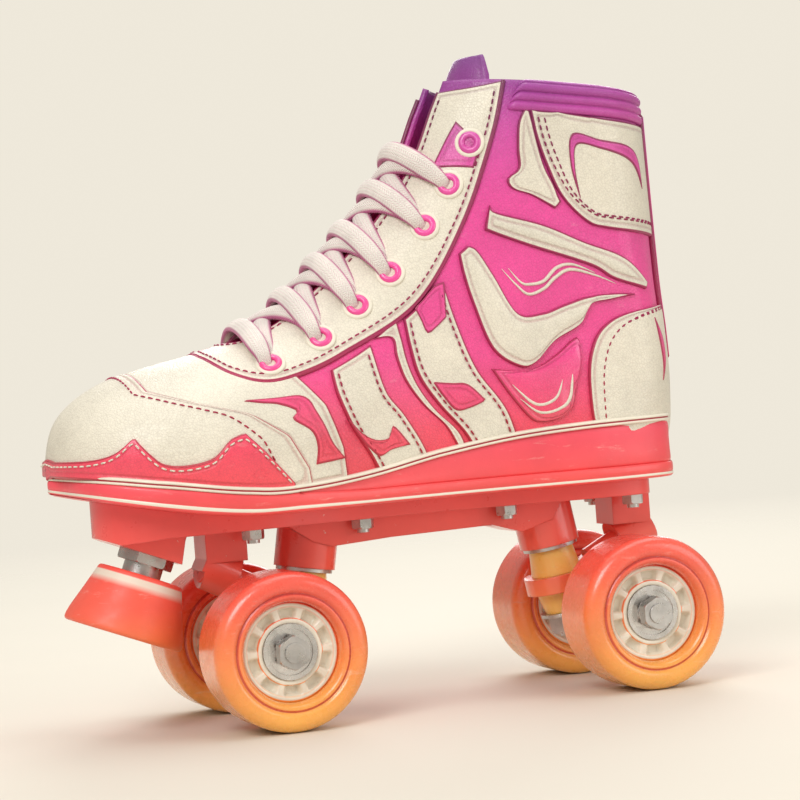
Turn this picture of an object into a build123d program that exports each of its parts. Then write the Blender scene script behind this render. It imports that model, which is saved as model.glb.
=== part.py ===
from build123d import *

import math
import os

# Quad roller skate for a left foot: a high laced boot on a plate with two steering trucks,
# four wheels and a toe stop.  Millimetres, +X towards the heel, -Y the outer side of the foot,
# +Z up, z = 0 where the wheels stand.  Everything is drawn about the boot's own middle line and
# moved by CENTRE_SHIFT at the end, so that the origin is under the middle of the whole skate.

# ---- driving dimensions ------------------------------------------------------------------
CENTRE_SHIFT = -0.635
WHEEL_R = 31.0
WHEEL_WIDTH = 31.0
WHEEL_MID_Y = 39.5
TREAD_ROUND = 6.0
HUB_R = 19.5
HUB_INNER_Y = 27.0
HUB_WIDTH = 22.5
BEARING_R = 11.0
BEARING_WIDTH = 7.0
RING_R = 6.1
RUNNING_GAP = 0.05
FIT = 0.02                      # between a shank and the bore it is pressed or screwed through
AXLE_R = 4.0
AXLE_HALF = 56.0
AXLE_WASHER = 0.8
AXLE_NUT_FLATS = 12.0
AXLE_NUT_H = 5.0
FRONT_AXLE_X = -53.5
REAR_AXLE_X = 99.6
RING_CENTRE = (20.0, 43.5)      # from the axle towards the middle, height above the ground
PIVOT_TIP = (13.0, 60.5)        # from the axle towards the end of the plate, height
KINGPIN_LEAN = 10.0
KINGPIN_R = 4.5
KINGPIN_NUT_FLATS = 14.0
KINGPIN_NUT_H = 7.5
RING_HALF = 3.5
RING_OUTER_R = 14.0
PIVOT_PIN_R = 5.0
PIVOT_GAP = 0.06
CUP_R = 6.6
CUP_DEEP = 6.5
PIVOT_BOSS_R = 9.0
KINGPIN_BOSS_R = 12.5
CUSHION_WASHER_H = 1.5
UPPER_CUSHION = 12.5
LOWER_CUSHION = 9.0
SOLE_Z = 84.3
TOE_SPRING = 12.7
DECK_H = 6.5
STOP_TILT = 22.0
STOP_TOP_R = 17.0
STOP_FACE_R = 24.5
STOP_H = 25.0
STOP_TOP = (-98.5, 62.5)
STEM_R = 7.9
STEM_BORE_R = 7.95
STEM_IN_PAD = 16.0
STEM_OVER_PAD = 19.5
STOP_NUT_FLATS = 20.0
STOP_NUT_H = 4.0
SHELL_T = 3.0
TONGUE_OUT = -8.2
TONGUE_IN = -11.2
OVERLAY_T = 1.4
SKIN_GAP = 0.05
THROAT_HALF = 12.0
LACE_R = 1.6
NOSE_R = 34.0

LATERAL = -1
MEDIAL = 1

# The boot's outer form, from the toe to above the collar.  Each station is a closed section in
# an upright plane that turns from across the foot to across the leg: front point x, z; back point
# x, z; length and half-width of the front rounding; length and half-width of the back rounding.
STATIONS = [
    (-129.0, 112.0, -129.0, 84.0, 9.0, 7.0, 9.0, 7.0),
    (-128.0, 117.0, -128.0, 83.0, 13.0, 14.5, 9.0, 14.0),
    (-125.0, 125.0, -125.0, 82.0, 20.0, 24.0, 9.0, 23.5),
    (-119.5, 131.0, -119.5, 81.0, 24.0, 31.0, 9.0, 30.0),
    (-111.0, 136.5, -111.0, 80.0, 28.0, 37.0, 9.0, 36.0),
    (-99.5, 141.0, -99.5, 79.0, 32.0, 41.5, 9.0, 40.0),
    (-85.0, 144.5, -84.0, 78.0, 36.0, 44.5, 9.0, 43.0),
    (-68.0, 148.0, -65.0, 77.0, 40.0, 46.0, 9.0, 44.5),
    (-52.0, 152.5, -45.0, 77.0, 44.0, 45.0, 9.0, 43.5),
    (-36.0, 161.0, -22.0, 78.0, 47.0, 41.5, 9.0, 39.5),
    (-21.0, 173.0, 3.0, 80.0, 49.0, 37.5, 9.0, 35.0),
    (-8.0, 185.5, 30.0, 83.0, 48.0, 34.5, 9.0, 32.5),
    (3.0, 197.0, 60.0, 86.0, 45.0, 32.5, 9.0, 32.5),
    (12.0, 207.5, 90.0, 88.0, 42.0, 31.5, 10.0, 33.0),
    (19.0, 217.0, 112.5, 89.0, 40.0, 31.0, 20.0, 32.5),
    (24.0, 225.0, 127.3, 97.0, 38.0, 31.0, 30.0, 31.5),
    (27.5, 232.0, 131.0, 118.0, 37.0, 31.3, 33.0, 31.0),
    (30.0, 237.5, 130.8, 142.0, 36.0, 31.8, 33.0, 30.5),
    (32.0, 242.0, 129.2, 167.0, 36.0, 32.3, 33.0, 30.8),
    (36.5, 251.0, 127.8, 217.0, 37.0, 33.8, 35.0, 33.0),
    (44.0, 268.0, 126.8, 262.0, 39.0, 35.0, 36.0, 34.5),
]
FRONT_SHARE = 0.42              # share of a half section that its front rounding takes
BACK_SHARE = 0.74               # share at which its back rounding starts
TOE_TURN = 7.0                  # how far the toe turns towards the inner side of the foot

# Height of the sole's upper edge along the boot, and the sole's outline from above
FEATHER = [(-150, 107.0), (-130.5, 105.5), (-99.5, 101.0), (-62, 95.5), (-42, 95.0), (-12, 98.0),
           (18, 103.5), (53, 108.0), (88, 110.0), (150, 110.5)]
SOLE_OUTLINE = [(-128.3, 8), (-123.5, 27), (-111, 40), (-89, 47), (-62, 48), (-30, 43.5), (3, 38),
                (45, 35), (90, 35.5), (115, 31), (125.5, 21), (130.5, 0)]

os.makedirs("parts", exist_ok=True)
NODES = {}


# ---- helpers -----------------------------------------------------------------------------
def toe_turn(x):
    """Sideways shift of the boot's middle line, growing from the ball of the foot to the toe."""
    reach = min(max((-25.0 - x) / 110.0, 0.0), 1.0)
    return TOE_TURN * reach * reach


def nose_share(x):
    """How far the boot's surface faces forwards at its front line: 1 at the tip of the toe."""
    return min(max(1.0 - (x - STATIONS[0][0]) / NOSE_R, 0.0), 1.0)


def station_at(u):
    """The station's eight numbers at a place u between the listed stations (Catmull-Rom)."""
    u = min(max(u, 0.0), len(STATIONS) - 1.0)
    i = min(int(u), len(STATIONS) - 2)
    t = u - i
    after = STATIONS[i + 1]
    here = STATIONS[i]
    before = STATIONS[max(i - 1, 0)]
    beyond = STATIONS[min(i + 2, len(STATIONS) - 1)]
    return [0.5 * (2 * b + (c - a) * t + (2 * a - 5 * b + 4 * c - d) * t * t
                   + (3 * b - a - 3 * c + d) * t ** 3)
            for a, b, c, d in zip(before, here, after, beyond)]


def boot_point(u, w, side, offset=0.0):
    """A point of the boot: u along it, w from the front line (0) to the back line (1)."""
    front_x, front_z, back_x, back_z, fl, fw, bl, bw = station_at(u)
    nose = nose_share(front_x)
    out = offset * math.sqrt(1.0 - nose * nose)
    span = math.hypot(back_x - front_x, back_z - front_z)
    nx, nz = (back_x - front_x) / span, (back_z - front_z) / span
    if w < FRONT_SHARE:
        turn = w / FRONT_SHARE * math.pi / 2
        along = fl - (fl + out) * math.cos(turn)
        half = (fw + out) * math.sin(turn)
    elif w < BACK_SHARE:
        t = (w - FRONT_SHARE) / (BACK_SHARE - FRONT_SHARE)
        along = fl + (span - fl - bl) * t
        half = fw + out + (bw - fw) * t
    else:
        turn = (w - BACK_SHARE) / (1 - BACK_SHARE) * math.pi / 2
        along = span - bl + (bl + out) * math.sin(turn)
        half = (bw + out) * math.cos(turn)
    x = front_x + nx * along - offset * nose
    return Vector(x, toe_turn(x) + side * half, front_z + nz * along)


def boot_normal(u, w, side):
    """The outward direction of the boot's surface at u, w."""
    along = boot_point(u + 0.05, w, side) - boot_point(u - 0.05, w, side)
    across = boot_point(u, w + 0.01, side) - boot_point(u, w - 0.01, side)
    normal = along.cross(across).normalized()
    return normal if normal.Y * side > 0 else normal * -1


def boot_section(k, offset):
    """Station k as a face: half an ellipse in front, half an ellipse behind, straight sides."""
    front_x, front_z, back_x, back_z, fl, fw, bl, bw = STATIONS[k]
    nose = nose_share(front_x)
    out = offset * math.sqrt(1.0 - nose * nose)
    span = math.hypot(back_x - front_x, back_z - front_z)
    along = Vector((back_x - front_x) / span, 0, (back_z - front_z) / span)
    place = Plane(origin=(front_x - offset * nose, toe_turn(front_x), front_z), x_dir=along,
                  z_dir=along.cross(Vector(0, 1, 0)))
    front = EllipticalCenterArc((fl, 0), fl + out, fw + out, start_angle=90, arc_size=180)
    back = EllipticalCenterArc((span - bl, 0), max(bl + out, 1.0), bw + out, start_angle=-90,
                               arc_size=180)
    sides = [Line(front @ 1, back @ 0), Line(back @ 1, front @ 0)]
    return place * make_face([front, sides[0], back, sides[1]])


def boot_solid(offset):
    """The whole form of the boot, larger than its leather by offset."""
    return loft([boot_section(k, offset) for k in range(len(STATIONS))], ruled=True)


def prism(outline, half=90.0):
    """An outline in the XZ plane, carried half to each side."""
    return extrude(Plane.XZ * make_face(Polyline(*outline, close=True)), amount=half, both=True)


def curved_prism(curve, corners, half=90.0):
    """A region with one smooth edge through the curve's points, closed by straight corners."""
    edge = Spline(*curve)
    rest = Polyline(curve[-1], *corners, curve[0])
    return extrude(Plane.XZ * make_face([edge, rest]), amount=half, both=True)


def one_side(side):
    """Everything on one side of the middle plane."""
    return Pos(0, side * 60, 150) * Box(400, 120, 400)


def rod(start, end, radius):
    """A round bar from start to end."""
    start, end = Vector(*start), Vector(*end)
    axis = end - start
    return Plane(origin=start, z_dir=axis) * Cylinder(
        radius, axis.length, align=(Align.CENTER, Align.CENTER, Align.MIN))


def tube(start, end, radius, bore):
    """A round bar with a bore right through it."""
    return rod(start, end, radius) - rod(start, end, bore)


def turned(profile, centre=(0, 0, 0)):
    """A profile of (radius, y) points turned about an axis along Y through centre."""
    face = make_face(Polyline(*profile, close=True))
    return Pos(*centre) * revolve(face, axis=Axis.Y)


def hexagon_nut(start, axis, flats, height, bore):
    """A chamfered six-sided nut standing on start along axis."""
    place = Plane(origin=start, z_dir=axis)
    radius = flats / math.sqrt(3)
    body = extrude(RegularPolygon(radius, 6), amount=height)
    body &= Pos(0, 0, height) * Cone(radius + height * 0.9, radius - height * 0.1, 2 * height,
                                     align=(Align.CENTER, Align.CENTER, Align.MAX))
    body -= Cylinder(bore, 4 * height)
    return place * body


def solids_of(shape):
    """The separate solids of a shape or of a list of shapes."""
    return shape.solids() if hasattr(shape, "solids") else [s for p in shape for s in p.solids()]


def keep(name, *shapes):
    """Move the shapes to the skate's frame and hold them as the node's solids."""
    pieces = [s for shape in shapes for s in solids_of(shape) if s.volume > 0.5]
    NODES[name] = [Pos(CENTRE_SHIFT, 0, 0) * s for s in pieces]


# ---- sole --------------------------------------------------------------------------------
def sole_bottom(x):
    """Height of the sole's underside: flat, with a spring at the toe."""
    return SOLE_Z + TOE_SPRING * (max(-59.0 - x, 0.0) / 71.5) ** 1.5


def feather_height(x):
    """Height of the sole's upper edge at x."""
    for (x0, z0), (x1, z1) in zip(FEATHER, FEATHER[1:]):
        if x <= x1:
            return z0 + (z1 - z0) * (x - x0) / (x1 - x0)


def sole_column(grow):
    """The sole's outline from above, larger by grow, as an upright column."""
    outer = [(x, toe_turn(x) - y - grow) for x, y in SOLE_OUTLINE[:-1]]
    inner = [(x, toe_turn(x) + y + grow) for x, y in reversed(SOLE_OUTLINE[:-1])]
    heel = [(SOLE_OUTLINE[-1][0] + grow, 0)]
    nose = [(SOLE_OUTLINE[0][0] - 1.2 - grow, toe_turn(-140))]
    ring = Spline(*(outer + heel + inner + nose), periodic=True)
    return Pos(0, 0, 60) * extrude(make_face(ring), amount=80)


UNDERSIDE = [(x, sole_bottom(x)) for x in (-150, -118, -96, -79, -66, -59)]
WEDGE_START = -45.0
WELT_H = 3.0
WELT_OUT = 1.0                  # how far the welt and the outsole stand out past the wedge
OUTSOLE_OUT = 1.2
welt_under = [(x, z - WELT_H) for x, z in FEATHER]
outsole_top = [p for p in welt_under if p[0] < WEDGE_START] + [(WEDGE_START, 91.9), (-15, 90.4),
                                                               (150, 90.3)]
above_feather = curved_prism(FEATHER, [(150, 320), (-150, 320)])
above_welt_under = curved_prism(welt_under, [(150, 320), (-150, 320)])
above_outsole = curved_prism(outsole_top, [(150, 320), (-150, 320)])
above_bottom = prism([*UNDERSIDE, (150, SOLE_Z), (150, 320), (-150, 320)])

keep("welt", (sole_column(WELT_OUT) & above_welt_under) - above_feather)
keep("outsole", ((sole_column(OUTSOLE_OUT) & above_bottom) - above_outsole) - above_welt_under)
keep("heel_wedge", ((sole_column(0.0) & above_outsole) - above_welt_under)
     & prism([(WEDGE_START + 1.5, 60), (WEDGE_START + 1.5, 130), (150, 130), (150, 60)]))

# ---- boot shell --------------------------------------------------------------------------
form = boot_solid(0.0)
inside = boot_solid(-SHELL_T)
COLLAR = [(20, 254.8), (36, 253.0), (70, 250.0), (140, 241.5)]
below_collar = prism([*COLLAR, (160, 60), (-160, 60), (-160, 254.8)])
THROAT_START = -57.0
THROAT_END = 60.0
throat_reach = THROAT_END - THROAT_START - THROAT_HALF
throat_slot = Box(2 * throat_reach, 2 * THROAT_HALF, 200)
throat_slot += Pos(-throat_reach, 0, 0) * Cylinder(THROAT_HALF, 200)
throat = (Pos(THROAT_END, 0, 200) * throat_slot) & (Pos(-10, 0, 200) * Box(140, 60, 200))

shell = ((form - inside) & above_feather & below_collar) - throat
VAMP_EDGE = [(-60, 160), (-52, 139), (-40, 137), (-30, 125), (-24, 108), (-22, 85)]
vamp_zone = prism([*VAMP_EDGE, (-160, 85), (-160, 160)])
EYELET_U = [7.75, 8.95, 9.95, 10.95, 12.05, 13.35, 16.4]
EYELET_W = [0.235, 0.235, 0.24, 0.25, 0.26, 0.27, 0.29]
EYELET_HOLE = 2.6
EYELET_BORE = 2.0
EYELET_FLANGE_R = 4.6
EYELET_DEPTH = 4.2


def eyelet_axis(k, side):
    u, w = EYELET_U[k], EYELET_W[k]
    return boot_point(u, w, side, OVERLAY_T + SKIN_GAP), boot_normal(u, w, side)


holes = []
for side in (LATERAL, MEDIAL):
    for k in range(len(EYELET_U)):
        spot, normal = eyelet_axis(k, side)
        holes.append(rod(spot - normal * 7, spot + normal * 3, EYELET_HOLE))

wall = shell - holes
keep("vamp", wall & vamp_zone)
quarters = wall - vamp_zone
keep("quarter_lateral", quarters & one_side(LATERAL))
keep("quarter_medial", quarters & one_side(MEDIAL))

BOARD_H = 3.0
FOOTBED_H = 4.5
FOOTBED_GAP = 2.6               # between the footbed and the boot's inner wall
LINING_T = 2.5
board_top = [(x, z + BOARD_H) for x, z in FEATHER]
footbed_top = [(x, z + BOARD_H + FOOTBED_H) for x, z in FEATHER]
above_board = curved_prism(board_top, [(150, 320), (-150, 320)])
above_footbed = curved_prism(footbed_top, [(150, 320), (-150, 320)])
keep("insole_board", (inside & above_feather) - above_board)
keep("footbed", (boot_solid(-SHELL_T - FOOTBED_GAP) & above_board) - above_footbed)

lining_inner = boot_solid(-SHELL_T - LINING_T)
front_gap = Pos(-20, 0, 200) * Box(164, 52, 200)
lining_zone = prism([(-12, 150), (10, 118), (150, 118), (150, 239.2), (70, 249), (36, 252),
                     (0, 252)])
keep("lining", ((inside - lining_inner) & lining_zone & above_footbed) - front_gap)

tongue_zone = prism([(-66, 170), (-66, 136), (-35, 138), (0, 168), (30, 205), (50, 235),
                     (69, 253), (59, 262), (51, 264), (34, 262), (-10, 262)])
tongue_skin = (boot_solid(TONGUE_OUT) - boot_solid(TONGUE_IN)) & tongue_zone
keep("tongue", tongue_skin & (Pos(0, 0, 200) * Box(300, 46, 200)))

# ---- leather overlays --------------------------------------------------------------------
skin = ((boot_solid(OVERLAY_T + SKIN_GAP) - boot_solid(SKIN_GAP)) & above_feather
        & below_collar) - throat - holes
COLLAR_BAND_T = 2.4
thick_skin = (boot_solid(COLLAR_BAND_T) - boot_solid(SKIN_GAP)) & above_feather & below_collar
TOE_CAP_EDGE = [(-101, 152), (-96, 134), (-80, 128.5), (-60, 123), (-46, 114), (-38.5, 101),
                (-36, 84)]
EYESTAY_EDGE = [(-80, 152), (-71, 141), (-52, 135), (-38, 137), (-19, 144), (14, 162),
                (37, 193), (52, 227), (59, 262)]
STRIPE_FRONT = [(-25, 138), (-24, 128), (-19, 115), (-12, 104), (-6, 92), (16, 92), (13, 104),
                (5, 118), (-3, 129), (-7, 147)]
STRIPE_REAR = [(8, 156), (9, 145), (12, 133), (20, 121), (31, 108), (38, 92), (56, 92),
               (50, 116), (38, 134), (31, 152), (26, 170)]
CHEVRON = [(34, 181), (38, 184), (42, 182), (48, 172), (57, 156), (68, 155), (86, 160),
           (110, 160), (100, 158), (89, 157), (84, 149), (72, 143), (63, 135), (56, 134),
           (45, 142), (38, 161)]
ANKLE_BAND = [(49, 200), (50, 197), (71, 191), (89, 183), (106, 176), (114, 168), (116, 162),
              (101, 167), (91, 173), (66, 182), (46, 190)]
COLLAR_PATCH = [(68, 238), (70, 227), (74, 215), (80, 202), (90, 191.5), (99, 188), (126, 184),
                (150, 182), (150, 229), (114, 231)]
HEEL_COUNTER = [(150, 155), (119, 154), (98, 150), (91, 144), (87, 134), (86, 122), (87, 108),
                (92, 90), (150, 90)]
COLLAR_BAND = [(59.5, 262), (59.5, 240), (114, 232), (150, 229.8), (150, 262)]
BACKSTAY_HALF = 8.0
back_strip = Pos(140, 0, 200) * Box(80, 2 * BACKSTAY_HALF, 400)

keep("toe_cap", skin & curved_prism(TOE_CAP_EDGE, [(-160, 84), (-160, 152)]))
keep("heel_counter", skin & prism(HEEL_COUNTER))
keep("collar_band", thick_skin & prism(COLLAR_BAND))
keep("backstay", skin & back_strip & prism([(100, 155.3), (150, 155.3), (150, 229.4),
                                            (100, 232)]))
eyestay_zone = curved_prism(EYESTAY_EDGE, [(0, 290), (-80, 200)])
for side, name in ((LATERAL, "lateral"), (MEDIAL, "medial")):
    half_skin = skin & one_side(side)
    keep("eyestay_" + name, half_skin & eyestay_zone)
    keep("side_stripes_" + name, half_skin & prism(STRIPE_FRONT), half_skin & prism(STRIPE_REAR))
    keep("ankle_panels_" + name, half_skin & prism(CHEVRON), half_skin & prism(ANKLE_BAND))
keep("collar_patch", (skin & prism(COLLAR_PATCH)) - (Pos(140, 0, 200)
                                                     * Box(80, 2 * BACKSTAY_HALF + 0.4, 400)))

# ---- eyelets and lace --------------------------------------------------------------------
eyelets = []
for side in (LATERAL, MEDIAL):
    for k in range(len(EYELET_U)):
        spot, normal = eyelet_axis(k, side)
        seat = spot + normal * 0.3
        flange = tube(seat, spot + normal * 1.2, EYELET_FLANGE_R, EYELET_BORE)
        barrel = tube(spot - normal * EYELET_DEPTH, seat, EYELET_HOLE - FIT, EYELET_BORE)
        eyelets.append(flange + barrel)
keep("eyelets", *eyelets)

LACED = 6
UNDER_LEATHER = -4.9            # the lace's middle where it runs between leather and tongue
route = []
for k in range(LACED):
    left, left_n = eyelet_axis(k, LATERAL)
    right, right_n = eyelet_axis(k, MEDIAL)
    over = EYELET_U[k] + 0.02
    dive = OVERLAY_T + SKIN_GAP - UNDER_LEATHER
    route += [left - left_n * dive, left + left_n * 4.8, boot_point(over, 0.10, LATERAL, 6.4),
              boot_point(over, 0.10, MEDIAL, 6.4), right + right_n * 4.8, right - right_n * dive]
    if k < LACED - 1:
        rise = EYELET_U[k + 1] - EYELET_U[k]
        route += [boot_point(EYELET_U[k] + rise * share, w, side, depth)
                  for share, w, side, depth in ((0.30, 0.13, MEDIAL, UNDER_LEATHER),
                                                (0.50, 0.0, MEDIAL, UNDER_LEATHER + 0.5),
                                                (0.70, 0.13, LATERAL, UNDER_LEATHER))]


def lace_tube(points, radius):
    """A round lace along straight runs joined by tangent arcs, as large as the runs allow."""
    radii = []
    for before, here, after in zip(points, points[1:], points[2:]):
        into, out = here - before, after - here
        turn = math.radians(into.get_angle(out))
        widest = 2 * radius if turn > math.radians(50) else 14.0
        radii.append(min(0.45 * min(into.length, out.length) / math.tan(turn / 2), widest))
    path = FilletPolyline(*points, radius=radii)
    section = Plane(origin=path @ 0, z_dir=path % 0) * Circle(radius)
    body = sweep(section, path=path)
    print("lace: length %.1f, volume ratio %.3f, least radius %.1f" % (
        path.length, body.volume / (math.pi * radius ** 2 * path.length), min(radii)))
    return body


keep("lace", lace_tube(route, LACE_R))


# ---- plate -------------------------------------------------------------------------------
def truck_frame(axle_x, inward):
    """Points and directions of a truck: ring centre, pivot tip, kingpin direction, steer axis."""
    ring = Vector(axle_x + inward * RING_CENTRE[0], 0, RING_CENTRE[1])
    tip = Vector(axle_x - inward * PIVOT_TIP[0], 0, PIVOT_TIP[1])
    lean = math.radians(KINGPIN_LEAN)
    up = Vector(inward * math.sin(lean), 0, math.cos(lean))
    steer = (tip - ring).normalized()
    return ring, tip, up, steer


TRUCKS = {"front": (FRONT_AXLE_X, 1), "rear": (REAR_AXLE_X, -1)}
DECK_OUTLINE = [(-112, 15), (-104, 22.5), (-83, 27.5), (-58, 28.5), (-25, 24), (10, 21.5), (45, 22),
                (75, 27), (100, 28.5), (112, 25), (117, 12)]
deck_ring = [(x, -y) for x, y in DECK_OUTLINE] + [(x, y) for x, y in reversed(DECK_OUTLINE)]
deck = Pos(0, 0, 60) * extrude(make_face(Spline(*deck_ring, periodic=True)), amount=60)
deck &= prism([(-130, 76), (-109, 76), (-92, 77.5), (-67, SOLE_Z - DECK_H), (150, SOLE_Z - DECK_H),
               (150, 110), (-130, 110)])
beam = prism([(-44, 80), (-30, 70), (-22, 67.5), (3, 69), (47, 70), (60, 66), (74, 70),
              (80, 80)], 13.0)
beam_slots = [Pos(x, 0, 70) * Box(18, 15, 9) for x in (-6, 18, 42)]
toe_block = prism([(-110, 96), (-109, 76), (-104, 70), (-86, 62), (-82, 80), (-82, 96)], 15.0)
plate = deck + beam + toe_block
for axle_x, inward in TRUCKS.values():
    ring, tip, up, steer = truck_frame(axle_x, inward)
    seat = ring + up * (RING_HALF + UPPER_CUSHION)
    plate += rod(seat, seat + up * 24, KINGPIN_BOSS_R)
    plate += rod(tip - steer * CUP_DEEP, tip + steer * 9, PIVOT_BOSS_R)
    plate += Pos(tip.X + inward * 1.5, 0, 73) * Box(17, 18, 16)
STOP_AXIS = Vector(-math.sin(math.radians(STOP_TILT)), 0, -math.cos(math.radians(STOP_TILT)))
stop_top = Vector(STOP_TOP[0], 0, STOP_TOP[1])
nut_top = stop_top - STOP_AXIS * 8.4
plate += rod(nut_top, stop_top - STOP_AXIS * 26, 13.0)
plate -= rod(nut_top, stop_top + STOP_AXIS * 40, 24.0)
plate -= above_bottom
for axle_x, inward in TRUCKS.values():
    ring, tip, up, steer = truck_frame(axle_x, inward)
    plate -= rod(tip - steer * (CUP_DEEP + 1), tip + steer * CUP_R, CUP_R)
    plate -= rod(ring, ring + up * 60, KINGPIN_R + FIT)
plate -= rod(stop_top - STOP_AXIS * 2, stop_top - STOP_AXIS * 40, STEM_BORE_R)
for slot in beam_slots:
    plate -= slot
BOLTS = [(-57, 21.5), (-10, 17), (52, 17.5), (107, 20.5)]
BOLT_R = 2.5
BOLT_PAST_PLATE = 5.5
BOLT_NUT_FLATS = 8.0
BOLT_NUT_H = 4.0
bolt_bodies, bolt_nuts, bolt_holes = [], [], []
for x, y in BOLTS:
    seat_z = feather_height(x) + 2.2
    under = SOLE_Z - DECK_H
    for side in (LATERAL, MEDIAL):
        y_here = toe_turn(x) + side * y
        bolt_holes.append(rod((x, y_here, 60), (x, y_here, 130), BOLT_R + FIT))
        bolt_bodies.append(rod((x, y_here, under - BOLT_PAST_PLATE), (x, y_here, seat_z), BOLT_R))
        bolt_nuts.append(hexagon_nut((x, y_here, under), (0, 0, -1), BOLT_NUT_FLATS, BOLT_NUT_H,
                                     BOLT_R))
for hole in bolt_holes:
    plate -= hole
keep("plate", plate)
keep("mounting_bolts", *bolt_bodies)
keep("mounting_nuts", *bolt_nuts)


# ---- trucks ------------------------------------------------------------------------------
def hanger(axle_x, inward):
    """The steering casting: axle housing, kingpin ring, pivot pin and the web between them."""
    ring, tip, up, steer = truck_frame(axle_x, inward)
    housing_end = HUB_INNER_Y - AXLE_WASHER
    axle = Vector(axle_x, 0, WHEEL_R)
    body = turned([(0, -housing_end), (6.6, -housing_end), (7.6, -14), (8.0, 0), (7.6, 14),
                   (6.6, housing_end), (0, housing_end)], (axle.X, 0, axle.Z))
    body += rod(ring - up * RING_HALF, ring + up * RING_HALF, RING_OUTER_R)
    web_low = ring + steer * 9 - Vector(0, 0, 3.2)
    pin_root = ring + steer * 24
    web = [(web_low.X, web_low.Z), (axle.X + inward * 4, axle.Z - 3), (axle.X - inward * 5, axle.Z),
           (pin_root.X - inward * 4.2, pin_root.Z - 5), (pin_root.X - inward * 1, pin_root.Z + 4),
           (ring.X - inward * 10.8, ring.Z + 7.2)]
    body += prism(web, 6.5)
    body += rod(ring + steer * 16, tip, PIVOT_PIN_R)
    body += Pos(*tip) * Sphere(PIVOT_PIN_R)
    for side in (LATERAL, MEDIAL):
        brace = Plane.XZ * make_face(Polyline(
            (axle.X - 3, axle.Z), (axle.X + 3, axle.Z), (axle.X + 3, axle.Z + 17),
            (axle.X - 3, axle.Z + 17), close=True))
        rib = extrude(brace, amount=22, both=True)
        slope = Plane.YZ * make_face(Polyline((side * 4, axle.Z + 15), (side * 21, axle.Z + 5),
                                              (side * 21, axle.Z - 3), (side * 4, axle.Z - 3),
                                              close=True))
        body += rib & extrude(slope, amount=200, both=True)
    body -= rod(ring - up * 20, ring + up * 20, KINGPIN_R + 2.6)
    clear = rod(ring + up * RING_HALF, ring + up * (RING_HALF + UPPER_CUSHION), 11.2)
    clear += rod(ring - up * RING_HALF, ring - up * 30, 11.2)
    body -= clear
    body -= rod((axle.X, -60, axle.Z), (axle.X, 60, axle.Z), AXLE_R)
    return body


def truck(name, axle_x, inward):
    """All the pieces of one truck, from the pivot cup to the axle nuts."""
    ring, tip, up, steer = truck_frame(axle_x, inward)
    keep("hanger_" + name, hanger(axle_x, inward))
    cup = rod(tip - steer * CUP_DEEP, tip + steer * CUP_R, CUP_R)
    cup -= rod(tip - steer * 9, tip, PIVOT_PIN_R + PIVOT_GAP)
    keep("pivot_cup_" + name, cup - Pos(*tip) * Sphere(PIVOT_PIN_R + PIVOT_GAP))
    top = ring + up * (RING_HALF + UPPER_CUSHION)
    low = ring - up * (RING_HALF + LOWER_CUSHION)
    upper = Plane(origin=ring + up * RING_HALF, z_dir=up) * Cone(
        10.6, 9.2, UPPER_CUSHION - CUSHION_WASHER_H, align=(Align.CENTER, Align.CENTER, Align.MIN))
    lower = Plane(origin=ring - up * RING_HALF, z_dir=up * -1) * Cone(
        10.2, 8.2, LOWER_CUSHION, align=(Align.CENTER, Align.CENTER, Align.MIN))
    bore = rod(low - up * 5, top + up * 5, KINGPIN_R + FIT)
    keep("cushions_" + name, upper - bore, lower - bore)
    washer = up * CUSHION_WASHER_H
    keep("cushion_washers_" + name, tube(top - washer, top, 11.5, KINGPIN_R + FIT),
         tube(low - washer, low, 10.5, KINGPIN_R + FIT))
    keep("kingpin_" + name, rod(low - up * 10.5, top + up * 22, KINGPIN_R))
    keep("kingpin_nut_" + name, hexagon_nut(low - washer, up * -1, KINGPIN_NUT_FLATS,
                                            KINGPIN_NUT_H, KINGPIN_R + FIT))
    axle = [(axle_x, -AXLE_HALF, WHEEL_R), (axle_x, AXLE_HALF, WHEEL_R)]
    keep("axle_" + name, rod(*axle, AXLE_R))
    hub_end = HUB_INNER_Y + HUB_WIDTH
    nuts, rings = [], []
    for side in (LATERAL, MEDIAL):
        def at(y):
            return Vector(axle_x, side * y, WHEEL_R)
        for start in (HUB_INNER_Y, hub_end - BEARING_WIDTH):
            rings.append(tube(at(start), at(start + BEARING_WIDTH), RING_R, AXLE_R))
        rings.append(tube(at(HUB_INNER_Y + BEARING_WIDTH), at(hub_end - BEARING_WIDTH), 5.2,
                          AXLE_R))
        rings.append(tube(at(HUB_INNER_Y - AXLE_WASHER), at(HUB_INNER_Y), RING_R, AXLE_R))
        rings.append(tube(at(hub_end), at(hub_end + AXLE_WASHER), RING_R, AXLE_R))
        nuts.append(hexagon_nut(at(hub_end + AXLE_WASHER), (0, side, 0), AXLE_NUT_FLATS,
                                AXLE_NUT_H, AXLE_R))
    keep("bearing_inner_rings_" + name, *rings)
    keep("axle_nuts_" + name, *nuts)


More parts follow.
